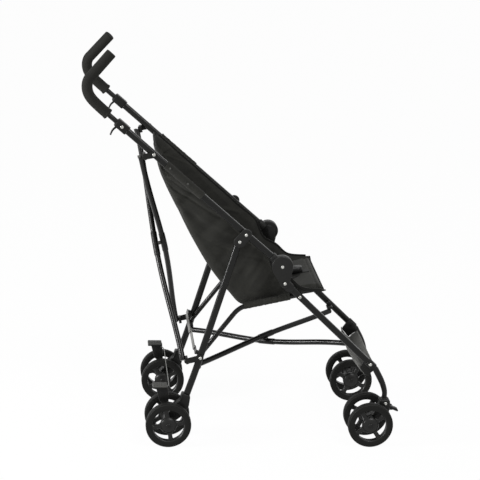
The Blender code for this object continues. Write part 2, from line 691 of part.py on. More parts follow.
def brake_pedal(side):
    """The rear foot brake: a broad tread on a wide lever that tapers down to its pivot."""
    y = side * LEG_Y
    barrel = 0.0048
    turns = [math.radians(t) for t in (200, 235, 270, 305, 340)]
    outline = [
        (PEDAL_TREAD[0] + LEVER_FRONT, PEDAL_TREAD[1]),
        (PEDAL_TREAD[0] - LEVER_BACK, PEDAL_TREAD[1]),
        (PEDAL_PIVOT[0] - barrel * 4, PEDAL_PIVOT[1] + barrel * 2.8),
        *((PEDAL_PIVOT[0] + barrel * math.cos(t), PEDAL_PIVOT[1] + barrel * math.sin(t)) for t in turns),
        (PEDAL_PIVOT[0] + barrel * 1.1, PEDAL_PIVOT[1] + barrel * 2.8),
    ]
    lever = prism("brake_pedal", outline, y - LEVER_HALF_WIDTH, y + LEVER_HALF_WIDTH)
    tread = block("tread", Vector((PEDAL_TREAD[0], y, PEDAL_TREAD[1])),
                  (Vector((1, 0, 0)), Vector((0, 1, 0)), Vector((0, 0, 1))),
                  (TREAD_LENGTH / 2, TREAD_WIDTH / 2, TREAD_THICKNESS / 2))
    ribs = [block("rib", Vector((PEDAL_TREAD[0] + step, y, PEDAL_TREAD[1] + TREAD_THICKNESS / 2)),
                  (Vector((1, 0, 0)), Vector((0, 1, 0)), Vector((0, 0, 1))),
                  (0.0015, TREAD_WIDTH / 2 - 0.003, 0.001)) for step in (-0.0135, -0.0045, 0.0045, 0.0135)]
    return united(lever, tread, *ribs)


def brake_wire():
    """The thin wire that makes one pedal work the other's brake."""
    at = (PEDAL_PIVOT[0], 2 * WHEEL_RADIUS + WIRE_ABOVE_WHEELS)
    reach = LEG_Y - LEVER_HALF_WIDTH - GAP
    half = [Vector((at[0], reach, at[1])), Vector((at[0] + WIRE_FORWARD * 0.2, reach * 0.965, at[1])),
            Vector((at[0] + WIRE_FORWARD * 0.9, reach * 0.87, at[1])),
            Vector((at[0] + WIRE_FORWARD, reach * 0.5, at[1] - WIRE_RADIUS))]
    middle = Vector((at[0] + WIRE_FORWARD, 0, at[1] - WIRE_RADIUS * 1.5))
    path = smooth_path([Vector((p.x, -p.y, p.z)) for p in half] + [middle] + half[::-1], 4)
    return round_tube("brake_wire", path, WIRE_RADIUS, 6, Vector((0, 0, 1)))


def link(side):
    """The oval plate between push tube and rear leg, with both its screws."""
    seat = LEG_Y + PUSH_TUBE_RADIUS + RUNNING
    low, high = sorted((side * seat, side * (seat + PLATE * 1.6)))
    plate = prism("link", stadium(LINK_TOP, LINK_FOOT, LINK_RADIUS, LINK_RADIUS), low, high)
    return united(plate, screw_head(side, LINK_TOP, seat + PLATE * 1.6),
                  screw_head(side, LINK_FOOT, seat + PLATE * 1.6))


def seat_tube(side):
    """The bent tube that carries the seat, from the rear leg to the front leg."""
    y = side * SEAT_TUBE_Y
    foot = side_point(SEAT_TUBE_FOOT, y)
    bend = side_point(SEAT_TUBE_BEND, y)
    front = side_point(SEAT_PIVOT, y)
    way_in = (bend - foot).normalized()
    way_out = (front - bend).normalized()
    path = [foot - way_in * 0.006, bend - way_in * 0.020, bend - way_in * 0.008 + way_out * 0.002,
            bend + way_out * 0.008, bend + way_out * 0.022, front + way_out * 0.006]
    return round_tube("seat_tube", path, SEAT_TUBE_RADIUS, 12)


def back_brace_path(side):
    """From this side's head down to the other side's foot, bowed clear of its twin."""
    points = []
    for k in range(11):
        share = k / 10
        middle = BACK_TOP.lerp(BACK_FOOT, share)
        bow = side * BACK_CROSS_BOW * math.sin(math.pi * share) ** 2
        points.append(middle + BACK_OUT * bow + Vector((0, side * BACK_CROSS_Y * (1 - 2 * share), 0)))
    return points


def brace_tube(side):
    """One arm of the back cross; the left arm also carries the centre pin."""
    path = back_brace_path(side)
    arm = round_tube("brace_tube", path, CROSS_TUBE_RADIUS, 10, BACK_OUT)
    rivets = [turned("rivet", [(-0.0085, 0.0), (-0.0085, 0.004), (0.0, 0.004), (0.0, 0.0)], 8,
                     Matrix.Translation(path[0]) @ Vector((0, -1, 0)).rotation_difference(BACK_OUT).to_matrix().to_4x4())]
    if side > 0:
        middle = (BACK_TOP + BACK_FOOT) / 2
        reach = 2 * BACK_CROSS_BOW - CROSS_TUBE_RADIUS - RUNNING
        pin = round_tube("pin", [middle + BACK_OUT * BACK_CROSS_BOW,
                                 middle + BACK_OUT * (BACK_CROSS_BOW - reach)], 0.005, 10)
        rivets.append(pin)
    return united(arm, *rivets)


def brace_bracket(side, pivot, end, seat_y):
    """A plate on the tube's outer face, with a boss behind it that meets the arm's end."""
    offset = CROSS_TUBE_RADIUS + RUNNING + BOSS_DEPTH / 2
    centre = end - BACK_OUT * offset
    low, high = sorted((side * seat_y, side * (seat_y + PLATE)))
    plate = prism("bracket", stadium(pivot, (centre.x, centre.z), 0.0085, 0.0075, 6), low, high)
    inner = BACK_CROSS_Y - BOSS_INNER
    middle = side * (inner + seat_y + PLATE) / 2
    boss = block("boss", Vector((centre.x, middle, centre.z)), (BACK_OUT, Vector((0, 1, 0)), BACK_DOWN),
                 (BOSS_DEPTH / 2, (seat_y + PLATE - inner) / 2 - 0.0002, BOSS_LENGTH / 2))
    return united(plate, boss, screw_head(side, pivot, seat_y + PLATE))


def lower_tube_path(side):
    """From this side's front leg back to the other side's rear leg."""
    front = side_point(LOWER_CROSS_FRONT)
    rear = side_point(LOWER_CROSS_REAR)
    points = []
    for k in range(11):
        share = k / 10
        bow = side * LOWER_CROSS_BOW * math.sin(math.pi * share) ** 2
        points.append(front.lerp(rear, share) + LOWER_UP * bow
                      + Vector((0, side * LOWER_CROSS_Y * (1 - 2 * share), 0)))
    return points


def lower_tube(side):
    path = lower_tube_path(side)
    arm = round_tube("lower_tube", path, CROSS_TUBE_RADIUS, 10, LOWER_UP)
    if side < 0:
        return arm
    middle = (side_point(LOWER_CROSS_FRONT) + side_point(LOWER_CROSS_REAR)) / 2
    reach = 2 * LOWER_CROSS_BOW - CROSS_TUBE_RADIUS - RUNNING
    pin = round_tube("pin", [middle + LOWER_UP * LOWER_CROSS_BOW,
                             middle + LOWER_UP * (LOWER_CROSS_BOW - reach)], 0.005, 10)
    return united(arm, pin)


def lower_front_clip(side):
    """A block over the lower arm's front end, pinned to the front leg's inner face."""
    pivot = LOWER_CROSS_FRONT
    centre = side_point(pivot) + LOWER_UP * (CROSS_TUBE_RADIUS + RUNNING + BOSS_DEPTH / 2)
    inner = LOWER_CROSS_Y - BOSS_INNER
    outer = LEG_Y - FRONT_TUBE_RADIUS - RUNNING
    boss = block("clip", Vector((centre.x, side * (inner + outer) / 2, centre.z)),
                 (LOWER_FORWARD, Vector((0, 1, 0)), LOWER_UP),
                 (BOSS_INNER, (outer - inner) / 2, BOSS_DEPTH / 2))
    low, high = sorted((side * (LOWER_CROSS_Y + CROSS_TUBE_RADIUS + OPEN_PIVOT), side * outer))
    cheek = prism("cheek", stadium(pivot, (centre.x, centre.z), 0.006, 0.0055, 5), low, high)
    return united(boss, cheek)


def lower_rear_clip(side):
    """The round boss on the rear leg's inner face, beside the lower arm's rear end."""
    outer = LEG_Y - REAR_TUBE_WIDTH / 2 - RUNNING
    low, high = sorted((side * (LOWER_CROSS_Y + CROSS_TUBE_RADIUS + OPEN_PIVOT), side * outer))
    return disc("clip", LOWER_CROSS_REAR, low, high, REAR_CLIP_RADIUS, 16)


def spreader_centre():
    middle = along(REAR_LEG_BEND, REAR_LEG_ANGLE, SPREADER_FROM_BEND)
    back = (-math.sin(REAR_LEG_ANGLE), math.cos(REAR_LEG_ANGLE))
    return middle[0] + back[0] * SPREADER_BACK, middle[1] + back[1] * SPREADER_BACK


def spreader_frame(side):
    """The directions up the leg and square behind it, and this half's own step backwards."""
    up = Vector((math.cos(REAR_LEG_ANGLE), 0, math.sin(REAR_LEG_ANGLE)))
    return up, Vector((-up.z, 0, up.x)), side * (SPREADER_THICKNESS + RUNNING) / 2


def spreader(side):
    """Half of the folding rear bar; the halves lap at the middle."""
    up, back, step = spreader_frame(side)
    centre = side_point(spreader_centre()) + back * step
    centre.y = side * (SPREADER_Y - 0.006) / 2
    bar = block("spreader", centre, (back, Vector((0, 1, 0)), up),
                (SPREADER_THICKNESS / 2, (SPREADER_Y + 0.006) / 2 + 0.006, SPREADER_WIDTH / 2))
    return bar


def seat_profile():
    """Side-view pairs of points down the seat: where cloth meets the tube, and its back."""
    tube = [along(HUB, UP_PUSH, SEAT_TOP_FROM_HUB - step) for step in SEAT_EDGE_STEPS]
    base = [between(SEAT_CORNER, SEAT_FRONT, share) for share in (0.0, 0.33, 0.66, 1.0)]
    return tube + list(SEAT_EDGE_FRONT), list(SEAT_BACK) + base


def seat_hammock():
    """One sewn sheet: the back, both side wings and the base, as a deep sling."""
    edges, floor = seat_profile()
    edge_half = LEG_Y - PUSH_TUBE_RADIUS - CLOTH / 2 - RUNNING
    mesh_data = bmesh.new()
    across = 24
    rings = []
    for station, (edge, back) in enumerate(zip(edges, floor)):
        ring = []
        on_back = station < len(SEAT_BACK)
        for k in range(across + 1):
            turn = math.pi * (k / across - 0.5)
            width = math.copysign(abs(math.sin(turn)) ** SEAT_SECTION_POWER, turn) if k != across / 2 else 0.0
            depth = abs(math.cos(turn)) ** SEAT_SECTION_POWER if 0 < k < across else 0.0
            rise = 1 - depth
            x, z = between(back, edge, rise)
            half = SEAT_HALF_WIDTH + (edge_half - SEAT_HALF_WIDTH) * max(0.0, (rise - 0.25) / 0.75)
            if on_back:
                pull = SEAT_BACK_BOW * (width**2) * depth
                x += pull * 0.8
                z += pull * 0.5
            ring.append(mesh_data.verts.new((x, width * half, z)))
        rings.append(ring)
    for ring, after in zip(rings, rings[1:]):
        for k in range(across):
            mesh_data.faces.new((ring[k], ring[k + 1], after[k + 1], after[k]))
    made = solid("seat_hammock", mesh_data)
    wall = made.modifiers.new("Cloth", "SOLIDIFY")
    wall.thickness = CLOTH
    wall.offset = 0.0
    wall.use_even_offset = True
    return made


SEAT_SLOPE = math.atan2(SEAT_FRONT[1] - SEAT_CORNER[1], SEAT_FRONT[0] - SEAT_CORNER[0])


def on_seat(x, y, lift):
    """The point above the seat cloth's middle line at x, lifted square to the seat."""
    z = SEAT_CORNER[1] + (x - SEAT_CORNER[0]) * math.tan(SEAT_SLOPE)
    rise = CLOTH / 2 + GAP + lift
    return Vector((x - rise * math.sin(SEAT_SLOPE), y, z + rise * math.cos(SEAT_SLOPE)))


def seat_pad():
    """The quilted seat cushion: crowned, drawn in at its sides, with two channels."""
    rows, columns = 14, 12
    mesh_data = bmesh.new()
    rings = []
    for i in range(rows + 1):
        u = i / rows
        top_row, low_row = [], []
        for j in range(columns + 1):
            v = 2 * j / columns - 1
            edge = (1 - abs(2 * u - 1) ** 8) * (1 - abs(v) ** 8)
            across = 0.35 * math.exp(-(((u - 0.62) / 0.045) ** 2))
            middle = 0.25 * math.exp(-((v / 0.07) ** 2))
            puff = PAD_THICKNESS * (0.5 + 0.5 * edge**0.5) * (1 - (across + middle) * edge)
            x = PAD_FRONT + PAD_LENGTH * (u - 1) * math.cos(SEAT_SLOPE)
            half = PAD_BACK_HALF + (PAD_FRONT_HALF - PAD_BACK_HALF) * u**2
            y = v * half * (1 - 0.03 * math.cos(math.pi * (u - 0.5)))
            lift = 0.15 * PAD_THICKNESS * (1 - edge)
            low_row.append(mesh_data.verts.new(on_seat(x, y, lift)))
            top_row.append(mesh_data.verts.new(on_seat(x, y, lift + puff)))
        rings.append((low_row, top_row))
    for (low, top), (low_after, top_after) in zip(rings, rings[1:]):
        for j in range(columns):
            mesh_data.faces.new((low[j], low[j + 1], low_after[j + 1], low_after[j]))
            mesh_data.faces.new((top[j], top[j + 1], top_after[j + 1], top_after[j]))
        for j in (0, columns):
            mesh_data.faces.new((low[j], top[j], top_after[j], low_after[j]))
    for low, top in (rings[0], rings[-1]):
        for j in range(columns):
            mesh_data.faces.new((low[j], low[j + 1], top[j + 1], top[j]))
    return solid("seat_pad", mesh_data)


def ribbon(name, points, width, width_axis):
    """A flat strap along points, its width lying along width_axis."""
    return swept(name, points, width / 2, STRAP / 2, 6, width_axis)


def footrest():
    """The cloth footrest slung between the front legs, with a hanging flap each side."""
    start = LOWER_CROSS_FROM_TOP + 0.016
    stop = FOOTREST_FROM_TOP + 0.012
    inner = LEG_Y - FRONT_TUBE_RADIUS - RUNNING - FOOTREST_CLOTH / 2
    mesh_data = bmesh.new()
    rows, across = 5, 18
    rings = []
    for i in range(rows + 1):
        ring = []
        at = along(FRONT_LEG_TOP, -FRONT_LEG_ANGLE, start + (stop - start) * i / rows)
        drop = 0.040 + 0.004 * math.cos(math.pi * i / rows)
        for k in range(across + 1):
            v = 2 * k / across - 1
            rise = abs(v) ** 7
            sag = drop * (1 - rise)
            x = at[0] - sag * math.sin(FRONT_LEG_ANGLE)
            z = at[1] - sag * math.cos(FRONT_LEG_ANGLE)
            ring.append(mesh_data.verts.new((x, v * inner, z)))
        rings.append(ring)
    for ring, after in zip(rings, rings[1:]):
        for k in range(across):
            mesh_data.faces.new((ring[k], ring[k + 1], after[k + 1], after[k]))
    made = solid("footrest", mesh_data)
    wall = made.modifiers.new("Cloth", "SOLIDIFY")
    wall.thickness = FOOTREST_CLOTH
    wall.offset = 0.0
    return made


STRAP_LIFT = PAD_THICKNESS + STRAP / 2 + GAP


def harness():
    """The waist belt and crotch strap, sewn together under the buckle."""
    belts = []
    for side in (-1, 1):
        points = smooth_path([
            on_seat(BUCKLE_X - BELT_REACH, side * (SEAT_HALF_WIDTH - BELT_EDGE), STRAP_LIFT + BELT_RISE),
            on_seat(BUCKLE_X - BELT_REACH * 0.645, side * SEAT_HALF_WIDTH * 0.554, STRAP_LIFT + STRAP),
            on_seat(BUCKLE_X - BUCKLE_HALF_LENGTH * 0.6, side * STRAP_WIDTH * 1.36, STRAP_LIFT),
            on_seat(BUCKLE_X, side * STRAP_WIDTH * 0.48, STRAP_LIFT),
            on_seat(BUCKLE_X, -side * STRAP_WIDTH * 0.16, STRAP_LIFT),
        ], 3)
        belts.append(ribbon("belt", points, STRAP_WIDTH, SEAT_FORWARD))
    crotch = ribbon("crotch", [
        on_seat(BUCKLE_X - BUCKLE_HALF_LENGTH * 0.4, 0, STRAP_LIFT),
        on_seat(BUCKLE_X + BUCKLE_HALF_LENGTH * 0.9, 0, STRAP_LIFT),
        on_seat(BUCKLE_X + BUCKLE_HALF_LENGTH * 1.8, 0, STRAP_LIFT - STRAP * 0.3),
    ], STRAP_WIDTH, Vector((0, 1, 0)))
    return united(belts[0], belts[1], crotch)


SEAT_FORWARD = Vector((math.cos(SEAT_SLOPE), 0, math.sin(SEAT_SLOPE)))
SEAT_UP = Vector((-math.sin(SEAT_SLOPE), 0, math.cos(SEAT_SLOPE)))
SEAT_AXES = (SEAT_FORWARD, Vector((0, -1, 0)), SEAT_UP)


def buckle_place(up=0.0):
    """The middle of the buckle's housing, or a point a little above it."""
    return on_seat(BUCKLE_X, 0, STRAP_LIFT + STRAP / 2 + GAP + BUCKLE_HEIGHT / 2 + up)


def buckle():
    """The crotch buckle's housing, open on top for its button."""
    shell = block("buckle", buckle_place(), SEAT_AXES,
                  (BUCKLE_HALF_LENGTH, BUCKLE_HALF_WIDTH, BUCKLE_HEIGHT / 2))
    well = BUTTON_HALF + RUNNING
    room = block("room", buckle_place(BUCKLE_HEIGHT / 2), SEAT_AXES, (well, well, BUTTON_DEPTH + BUTTON_TRAVEL))
    return cut(shell, room)


def buckle_button():
    """The square press button, standing a little above the housing."""
    place = buckle_place(BUCKLE_HEIGHT / 2 - BUTTON_DEPTH / 2 + 0.0005)
    return block("buckle_button", place, SEAT_AXES, (BUTTON_HALF, BUTTON_HALF, BUTTON_DEPTH / 2))


def build_side(side, paint, mesh):
    """Everything that one half of the frame carries."""
    name = "left" if side > 0 else "right"
    y = side * LEG_Y

    body(f"push_{name}", (HUB[0], y, HUB[1]), "seat")
    piece(f"push_tube_{name}", push_tube(side), f"push_{name}", paint["frame"])
    piece(f"grip_{name}", grip(side), f"push_{name}", paint["grip"])
    piece(f"connector_{name}", connector(side), f"push_{name}", paint["plastic"])
    piece(f"hub_{name}", hub(side), f"push_{name}", paint["bracket"])

    body(f"link_{name}", (LINK_TOP[0], y, LINK_TOP[1]), f"push_{name}")
    piece(f"link_plate_{name}", link(side), f"link_{name}", paint["bracket"])

    rear = body(f"rear_leg_{name}", (LINK_FOOT[0], y, LINK_FOOT[1]), f"link_{name}")
    piece(f"rear_tube_{name}", rear_leg(side), rear, paint["frame"])
    piece(f"rear_housing_{name}", rear_housing(side), rear, paint["plastic"])
    piece(f"rear_axle_{name}", axle_solid(side, REAR_AXLE), rear, paint["steel"])

    body(f"brake_{name}", (PEDAL_PIVOT[0], y, PEDAL_PIVOT[1]), rear)
    piece(f"brake_pedal_{name}", brake_pedal(side), f"brake_{name}", paint["pedal"])

    middle = spreader_centre()
    body(f"spreader_{name}", (middle[0], side * SPREADER_Y, middle[1]), rear)
    piece(f"spreader_bar_{name}", spreader(side), f"spreader_{name}", paint["steel"])

    body(f"brace_foot_{name}", (SEAT_TUBE_FOOT[0], y, SEAT_TUBE_FOOT[1]), rear)
    foot = brace_bracket(side, SEAT_TUBE_FOOT, BACK_FOOT, LEG_Y + REAR_TUBE_WIDTH / 2 + RUNNING)
    piece(f"brace_foot_bracket_{name}", foot, f"brace_foot_{name}", paint["plastic"])

    body(f"lower_foot_{name}", (LOWER_CROSS_REAR[0], y, LOWER_CROSS_REAR[1]), rear)
    piece(f"lower_rear_clip_{name}", lower_rear_clip(side), f"lower_foot_{name}", paint["plastic"])

    front = body(f"front_leg_{name}", (HUB[0], y, HUB[1]), f"push_{name}")
    piece(f"front_tube_{name}", front_leg(side), front, paint["frame"])
    piece(f"leg_end_{name}", leg_end(side), front, paint["frame"])

    body(f"seat_rail_{name}", (SEAT_PIVOT[0], y, SEAT_PIVOT[1]), front)
    piece(f"seat_tube_{name}", seat_tube(side), f"seat_rail_{name}", paint["frame"])

    body(f"lower_head_{name}", (LOWER_CROSS_FRONT[0], y, LOWER_CROSS_FRONT[1]), front)
    piece(f"lower_front_clip_{name}", lower_front_clip(side), f"lower_head_{name}", paint["plastic"])
    body(f"lower_arm_{name}", (LOWER_CROSS_FRONT[0], side * LOWER_CROSS_Y, LOWER_CROSS_FRONT[1]),
         f"lower_head_{name}")
    piece(f"lower_tube_{name}", lower_tube(side), f"lower_arm_{name}", paint["frame"])

    body(f"brace_head_{name}", (BRACE_PIVOT[0], y, BRACE_PIVOT[1]), f"push_{name}")
    head = brace_bracket(side, BRACE_PIVOT, BACK_TOP, LEG_Y + PUSH_TUBE_RADIUS + RUNNING)
    piece(f"brace_head_bracket_{name}", head, f"brace_head_{name}", paint["plastic"])
    body(f"brace_arm_{name}", (BACK_TOP.x, side * BACK_CROSS_Y, BACK_TOP.z), f"brace_head_{name}")
    piece(f"brace_tube_{name}", brace_tube(side), f"brace_arm_{name}", paint["frame"])

    swivel = body(f"caster_{name}", (SWIVEL_X, y, CASTER_TOP), front)
    piece(f"caster_block_{name}", caster(side), swivel, paint["plastic"])
    piece(f"front_axle_{name}", axle_solid(side, FRONT_AXLE), swivel, paint["steel"])
    pivot = lock_pivot()
    body(f"swivel_lock_{name}", (pivot[0], y, pivot[1]), swivel)
    piece(f"swivel_lever_{name}", swivel_lock(side), f"swivel_lock_{name}", paint["plastic"])

    for end, axle, carrier in (("rear", REAR_AXLE, rear), ("front", FRONT_AXLE, swivel)):
        for place, offset in (("inner", -TWIN_HALF), ("outer", TWIN_HALF)):
            wheel(f"{end}_wheel_{name}_{place}", mesh, side, f"{end}_{place}_spin_{name}",
                  carrier, axle, LEG_Y + offset, paint["wheel"])


def centre_on_origin(root):
    """Move the whole pushchair so that the middle of its bounds stands on the origin."""
    bpy.context.view_layer.update()
    graph = bpy.context.evaluated_depsgraph_get()
    places = []
    for made in bpy.context.scene.objects:
        if made.type == "MESH":
            seen = made.evaluated_get(graph)
            places += [seen.matrix_world @ Vector(corner) for corner in seen.bound_box]
    middle = (min(p.x for p in places) + max(p.x for p in places)) / 2
    root.location.x -= middle
    root.location.z -= min(p.z for p in places)
    bpy.context.view_layer.update()


def main():
    clear_scene()
    paint = {
        "frame": material("frame_black", (0.022, 0.022, 0.021), 0.42, 0.3),
        "grip": material("grip_foam", (0.018, 0.018, 0.018), 0.8),
        "plastic": material("black_plastic", (0.020, 0.020, 0.020), 0.5),
        "bracket": material("dark_grey_plastic", (0.033, 0.033, 0.031), 0.5),
        "steel": material("zinc_steel", (0.60, 0.60, 0.58), 0.3, 1.0),
        "pedal": material("grey_tread", (0.10, 0.10, 0.095), 0.7),
        "wheel": material("black_wheel", (0.020, 0.020, 0.020), 0.6),
        "cloth": material("charcoal_cloth", (0.028, 0.028, 0.026), 0.9),
        "pad": material("pad_cloth", (0.060, 0.060, 0.057), 0.9),
        "footrest": material("grey_cloth", (0.16, 0.16, 0.155), 0.9),
        "strap": material("black_webbing", (0.020, 0.020, 0.020), 0.8),
    }
    body("seat", (0.0, 0.0, 0.0), None)
    piece("seat_hammock", seat_hammock(), "seat", paint["cloth"])
    piece("seat_pad", seat_pad(), "seat", paint["pad"])
    piece("harness", harness(), "seat", paint["strap"])
    piece("buckle", buckle(), "seat", paint["plastic"])
    body("button", buckle_place(), "seat")
    piece("buckle_button", buckle_button(), "button", paint["bracket"])
    mesh = wheel_mesh()
    for side in (1, -1):
        build_side(side, paint, mesh)
    piece("footrest", footrest(), "seat", paint["footrest"])
    piece("brake_wire", brake_wire(), "seat", paint["steel"])
    centre_on_origin(BODIES["seat"])


main()
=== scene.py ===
# The finished look of an umbrella-fold pushchair, laid over its jointed frame.
# Shapes are worked out in metres, with the rear axle at X = 0, the floor at Z = 0 and outwards as +Y.
# A piece of the right-hand side is the left-hand one mirrored across Y. In the names of pieces, bodies and
# CAD nodes, {} stands for left or right.

import json
import math

import bpy
import numpy as np
from mathutils import Matrix, Vector


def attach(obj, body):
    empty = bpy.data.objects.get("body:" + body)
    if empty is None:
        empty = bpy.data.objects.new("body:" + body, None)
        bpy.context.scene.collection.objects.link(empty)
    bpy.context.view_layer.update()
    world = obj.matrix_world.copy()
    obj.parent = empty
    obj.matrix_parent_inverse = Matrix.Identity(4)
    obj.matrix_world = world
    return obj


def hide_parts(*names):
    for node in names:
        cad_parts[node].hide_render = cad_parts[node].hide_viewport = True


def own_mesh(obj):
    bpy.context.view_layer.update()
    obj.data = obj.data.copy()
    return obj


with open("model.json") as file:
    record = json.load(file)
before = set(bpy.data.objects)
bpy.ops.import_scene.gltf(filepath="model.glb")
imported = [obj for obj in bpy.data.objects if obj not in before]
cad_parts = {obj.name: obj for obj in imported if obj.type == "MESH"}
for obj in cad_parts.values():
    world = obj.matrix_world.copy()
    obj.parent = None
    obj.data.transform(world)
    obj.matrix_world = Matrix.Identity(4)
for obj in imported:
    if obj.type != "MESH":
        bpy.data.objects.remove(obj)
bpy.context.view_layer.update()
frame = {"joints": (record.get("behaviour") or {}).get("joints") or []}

REAR_X = next(joint["pos_m"][0] for joint in frame["joints"] if joint["child"] == "rear_outer_spin_right")
FORWARD, OUT, UP = np.eye(3)
SIDES = {1: "left", -1: "right"}

# Widths, wheels and tubes, in metres
LEG_Y = 0.1835
SEAT_TUBE_Y = 0.16785
SEAT_HALF = 0.1535
WHEEL_R = 0.060
WHEELBASE = 0.536
TWIN_HALF = 0.0445
TUBE_R = 0.00875
TUBE_FACE = LEG_Y + TUBE_R
SEAT_TUBE_R = 0.0065
CROSS_R = 0.00625
ARM_R = 0.0073
CUFF_R = 0.0084
HUB_R = 0.028
HUB_FACE = LEG_Y + 0.014
BOSS_R = 0.0125
BOSS_HALF = 0.0331
GAP = 0.0004
POLE = 0.00005  # the radius at which a turned shape meets its axis

# Pivots in side view, as (X, Z)
HUB = np.array((0.289, 0.485))
PUSH_WAY = math.pi - math.radians(40.65)
FRONT_TOP = np.array((0.297, 0.440))
FRONT_WAY = -math.radians(43.4)
REAR_BEND = np.array((0.070, 0.193))
REAR_END = np.array((0.043, 0.112))
SEAT_BEND = np.array((0.183, 0.366))
SWIVEL_X = WHEELBASE + 0.041
CASTER_TOP = WHEEL_R + 0.059
PEDAL_PIVOT = np.array((-0.004, 0.100))
PEDAL_TREAD = np.array((-0.0225, 0.1535))


# ---- points and curves -------------------------------------------------------------------

def unit(v):
    """Vectors scaled to length one, along the last axis."""
    v = np.asarray(v, float)
    return v / np.maximum(np.linalg.norm(v, axis=-1, keepdims=True), 1e-12)


def along(start, angle, length):
    """The side-view point at a length from start, in a direction above forwards."""
    return np.asarray(start) + length * np.array((math.cos(angle), math.sin(angle)))


def spot(point, y=0.0):
    """A side-view point put at a width."""
    return np.array((point[0], y, point[1]))


def heading(angle):
    """The direction at an angle above forwards."""
    return spot((math.cos(angle), math.sin(angle)))


def bell(value, width):
    """A narrow bump: exp(-(value / width)^2)."""
    return np.exp(-((value / width) ** 2))


def ramp(value, width):
    """A straight rise from 0 to 1 over a width."""
    return np.clip(value / width, 0, 1)


def ripple(a, b, seed):
    """A smooth wavy value from -1 to 1: four crossing sines with fixed, seeded phases."""
    phase = np.random.default_rng(seed).uniform(0, 2 * math.pi, 4)
    waves = (np.sin(a + 0.4 * b + phase[0]) + 0.7 * np.sin(1.7 * a - 0.9 * b + phase[1])
             + 0.5 * np.sin(0.6 * a + 2.3 * b + phase[2]) + 0.4 * np.sin(3.1 * a + 1.6 * b + phase[3]))
    return waves / 2.6


def run_length(points):
    """Distance run along each row of points, starting from 0."""
    step = np.linalg.norm(np.diff(points, axis=-2), axis=-1)
    return np.concatenate((np.zeros_like(step[..., :1]), np.cumsum(step, axis=-1)), -1)


def curve(points, steps=8):
    """Cubic through every point, with slopes of half the chord between the neighbours."""
    p = np.asarray(points, float)
    p = np.concatenate(([2 * p[0] - p[1]], p, [2 * p[-1] - p[-2]]))
    a, b, c, d = (q[:, None] for q in (p[:-3], p[1:-2], p[2:-1], p[3:]))
    t = np.linspace(0, 1, steps, endpoint=False).reshape((1, steps) + (1,) * (p.ndim - 1))
    q = (2 * b + (c - a) * t + (2 * a - 5 * b + 4 * c - d) * t**2 + (3 * b - a - 3 * c + d) * t**3) / 2
    return np.concatenate((q.reshape((-1,) + p.shape[1:]), p[-2:-1]))


def rounded(points, reach, closed=True, steps=4):
    """Each corner becomes the quadratic curve between the points at reach before and after it."""
    p = np.asarray(points, float)
    back, ahead = (np.roll(p, k, 0) - p for k in (1, -1))
    a, b = (p + unit(way) * np.minimum(reach, 0.45 * np.linalg.norm(way, axis=1, keepdims=True))
            for way in (back, ahead))
    t = np.linspace(0, 1, steps + 1)[None, :, None]
    c = (1 - t) ** 2 * a[:, None] + 2 * t * (1 - t) * p[:, None] + t**2 * b[:, None]
    if closed:
        return c.reshape(-1, p.shape[1])
    return np.concatenate((p[:1], c[1:-1].reshape(-1, p.shape[1]), p[-1:]))


def stadium(a, b, radius_a, radius_b, arc=12):
    """The outline round two circles in side view, joined by their common tangents."""
    a, b = np.asarray(a), np.asarray(b)
    lie = math.atan2(b[1] - a[1], b[0] - a[0])
    tilt = math.asin((radius_a - radius_b) / np.linalg.norm(b - a))
    share = np.linspace(0, 1, arc + 1)
    turn_b = lie - math.pi / 2 + tilt + (math.pi - 2 * tilt) * share
    turn_a = lie + math.pi / 2 - tilt + (math.pi + 2 * tilt) * share
    return np.concatenate([centre + radius * np.stack((np.cos(turn), np.sin(turn)), 1)
                           for centre, radius, turn in ((b, radius_b, turn_b), (a, radius_a, turn_a))])


# ---- shells: closed skins worked out as whole arrays ---------------------------------------

def skin(rings, loop=False, cap="flat"):
    """Quads between neighbouring rings, closed by a flat cap, by a strip for thin cloth, or in a loop.

    The UV is the distance round the ring and the distance along the rings, in metres.
    """
    rings = np.asarray(rings, float)
    n, m = rings.shape[:2]
    i, j = np.meshgrid(np.arange(n if loop else n - 1), np.arange(m), indexing="ij")
    i_next, j_next = (i + 1) % n, (j + 1) % m
    quads = np.stack((i * m + j, i * m + j_next, i_next * m + j_next, i_next * m + j), -1).reshape(-1, 4)
    gaps = (np.linalg.norm(np.roll(rings, -1, way) - rings, axis=2).mean(1 - way) for way in (1, 0))
    u, v = (np.concatenate(([0], np.cumsum(gap))) for gap in gaps)
    uv = np.stack((np.stack((u[j], u[j + 1], u[j + 1], u[j]), -1),
                   np.stack((v[i], v[i], v[i + 1], v[i + 1]), -1)), -1).reshape(-1, 4, 2)
    caps = []
    if not loop and cap == "flat":
        caps = [list(range(m))[::-1], list(range((n - 1) * m, n * m))]
    if not loop and cap == "strip":
        k = np.arange(m // 2 - 1)
        first = np.stack((k + 1, k, m - 1 - k, m - 2 - k), 1)
        last = np.stack((k, k + 1, m - 2 - k, m - 1 - k), 1) + (n - 1) * m
        quads = np.concatenate((quads, first, last))
        uv = np.concatenate((uv, np.zeros((2 * len(k), 4, 2))))
    return rings.reshape(-1, 3), quads, caps, uv


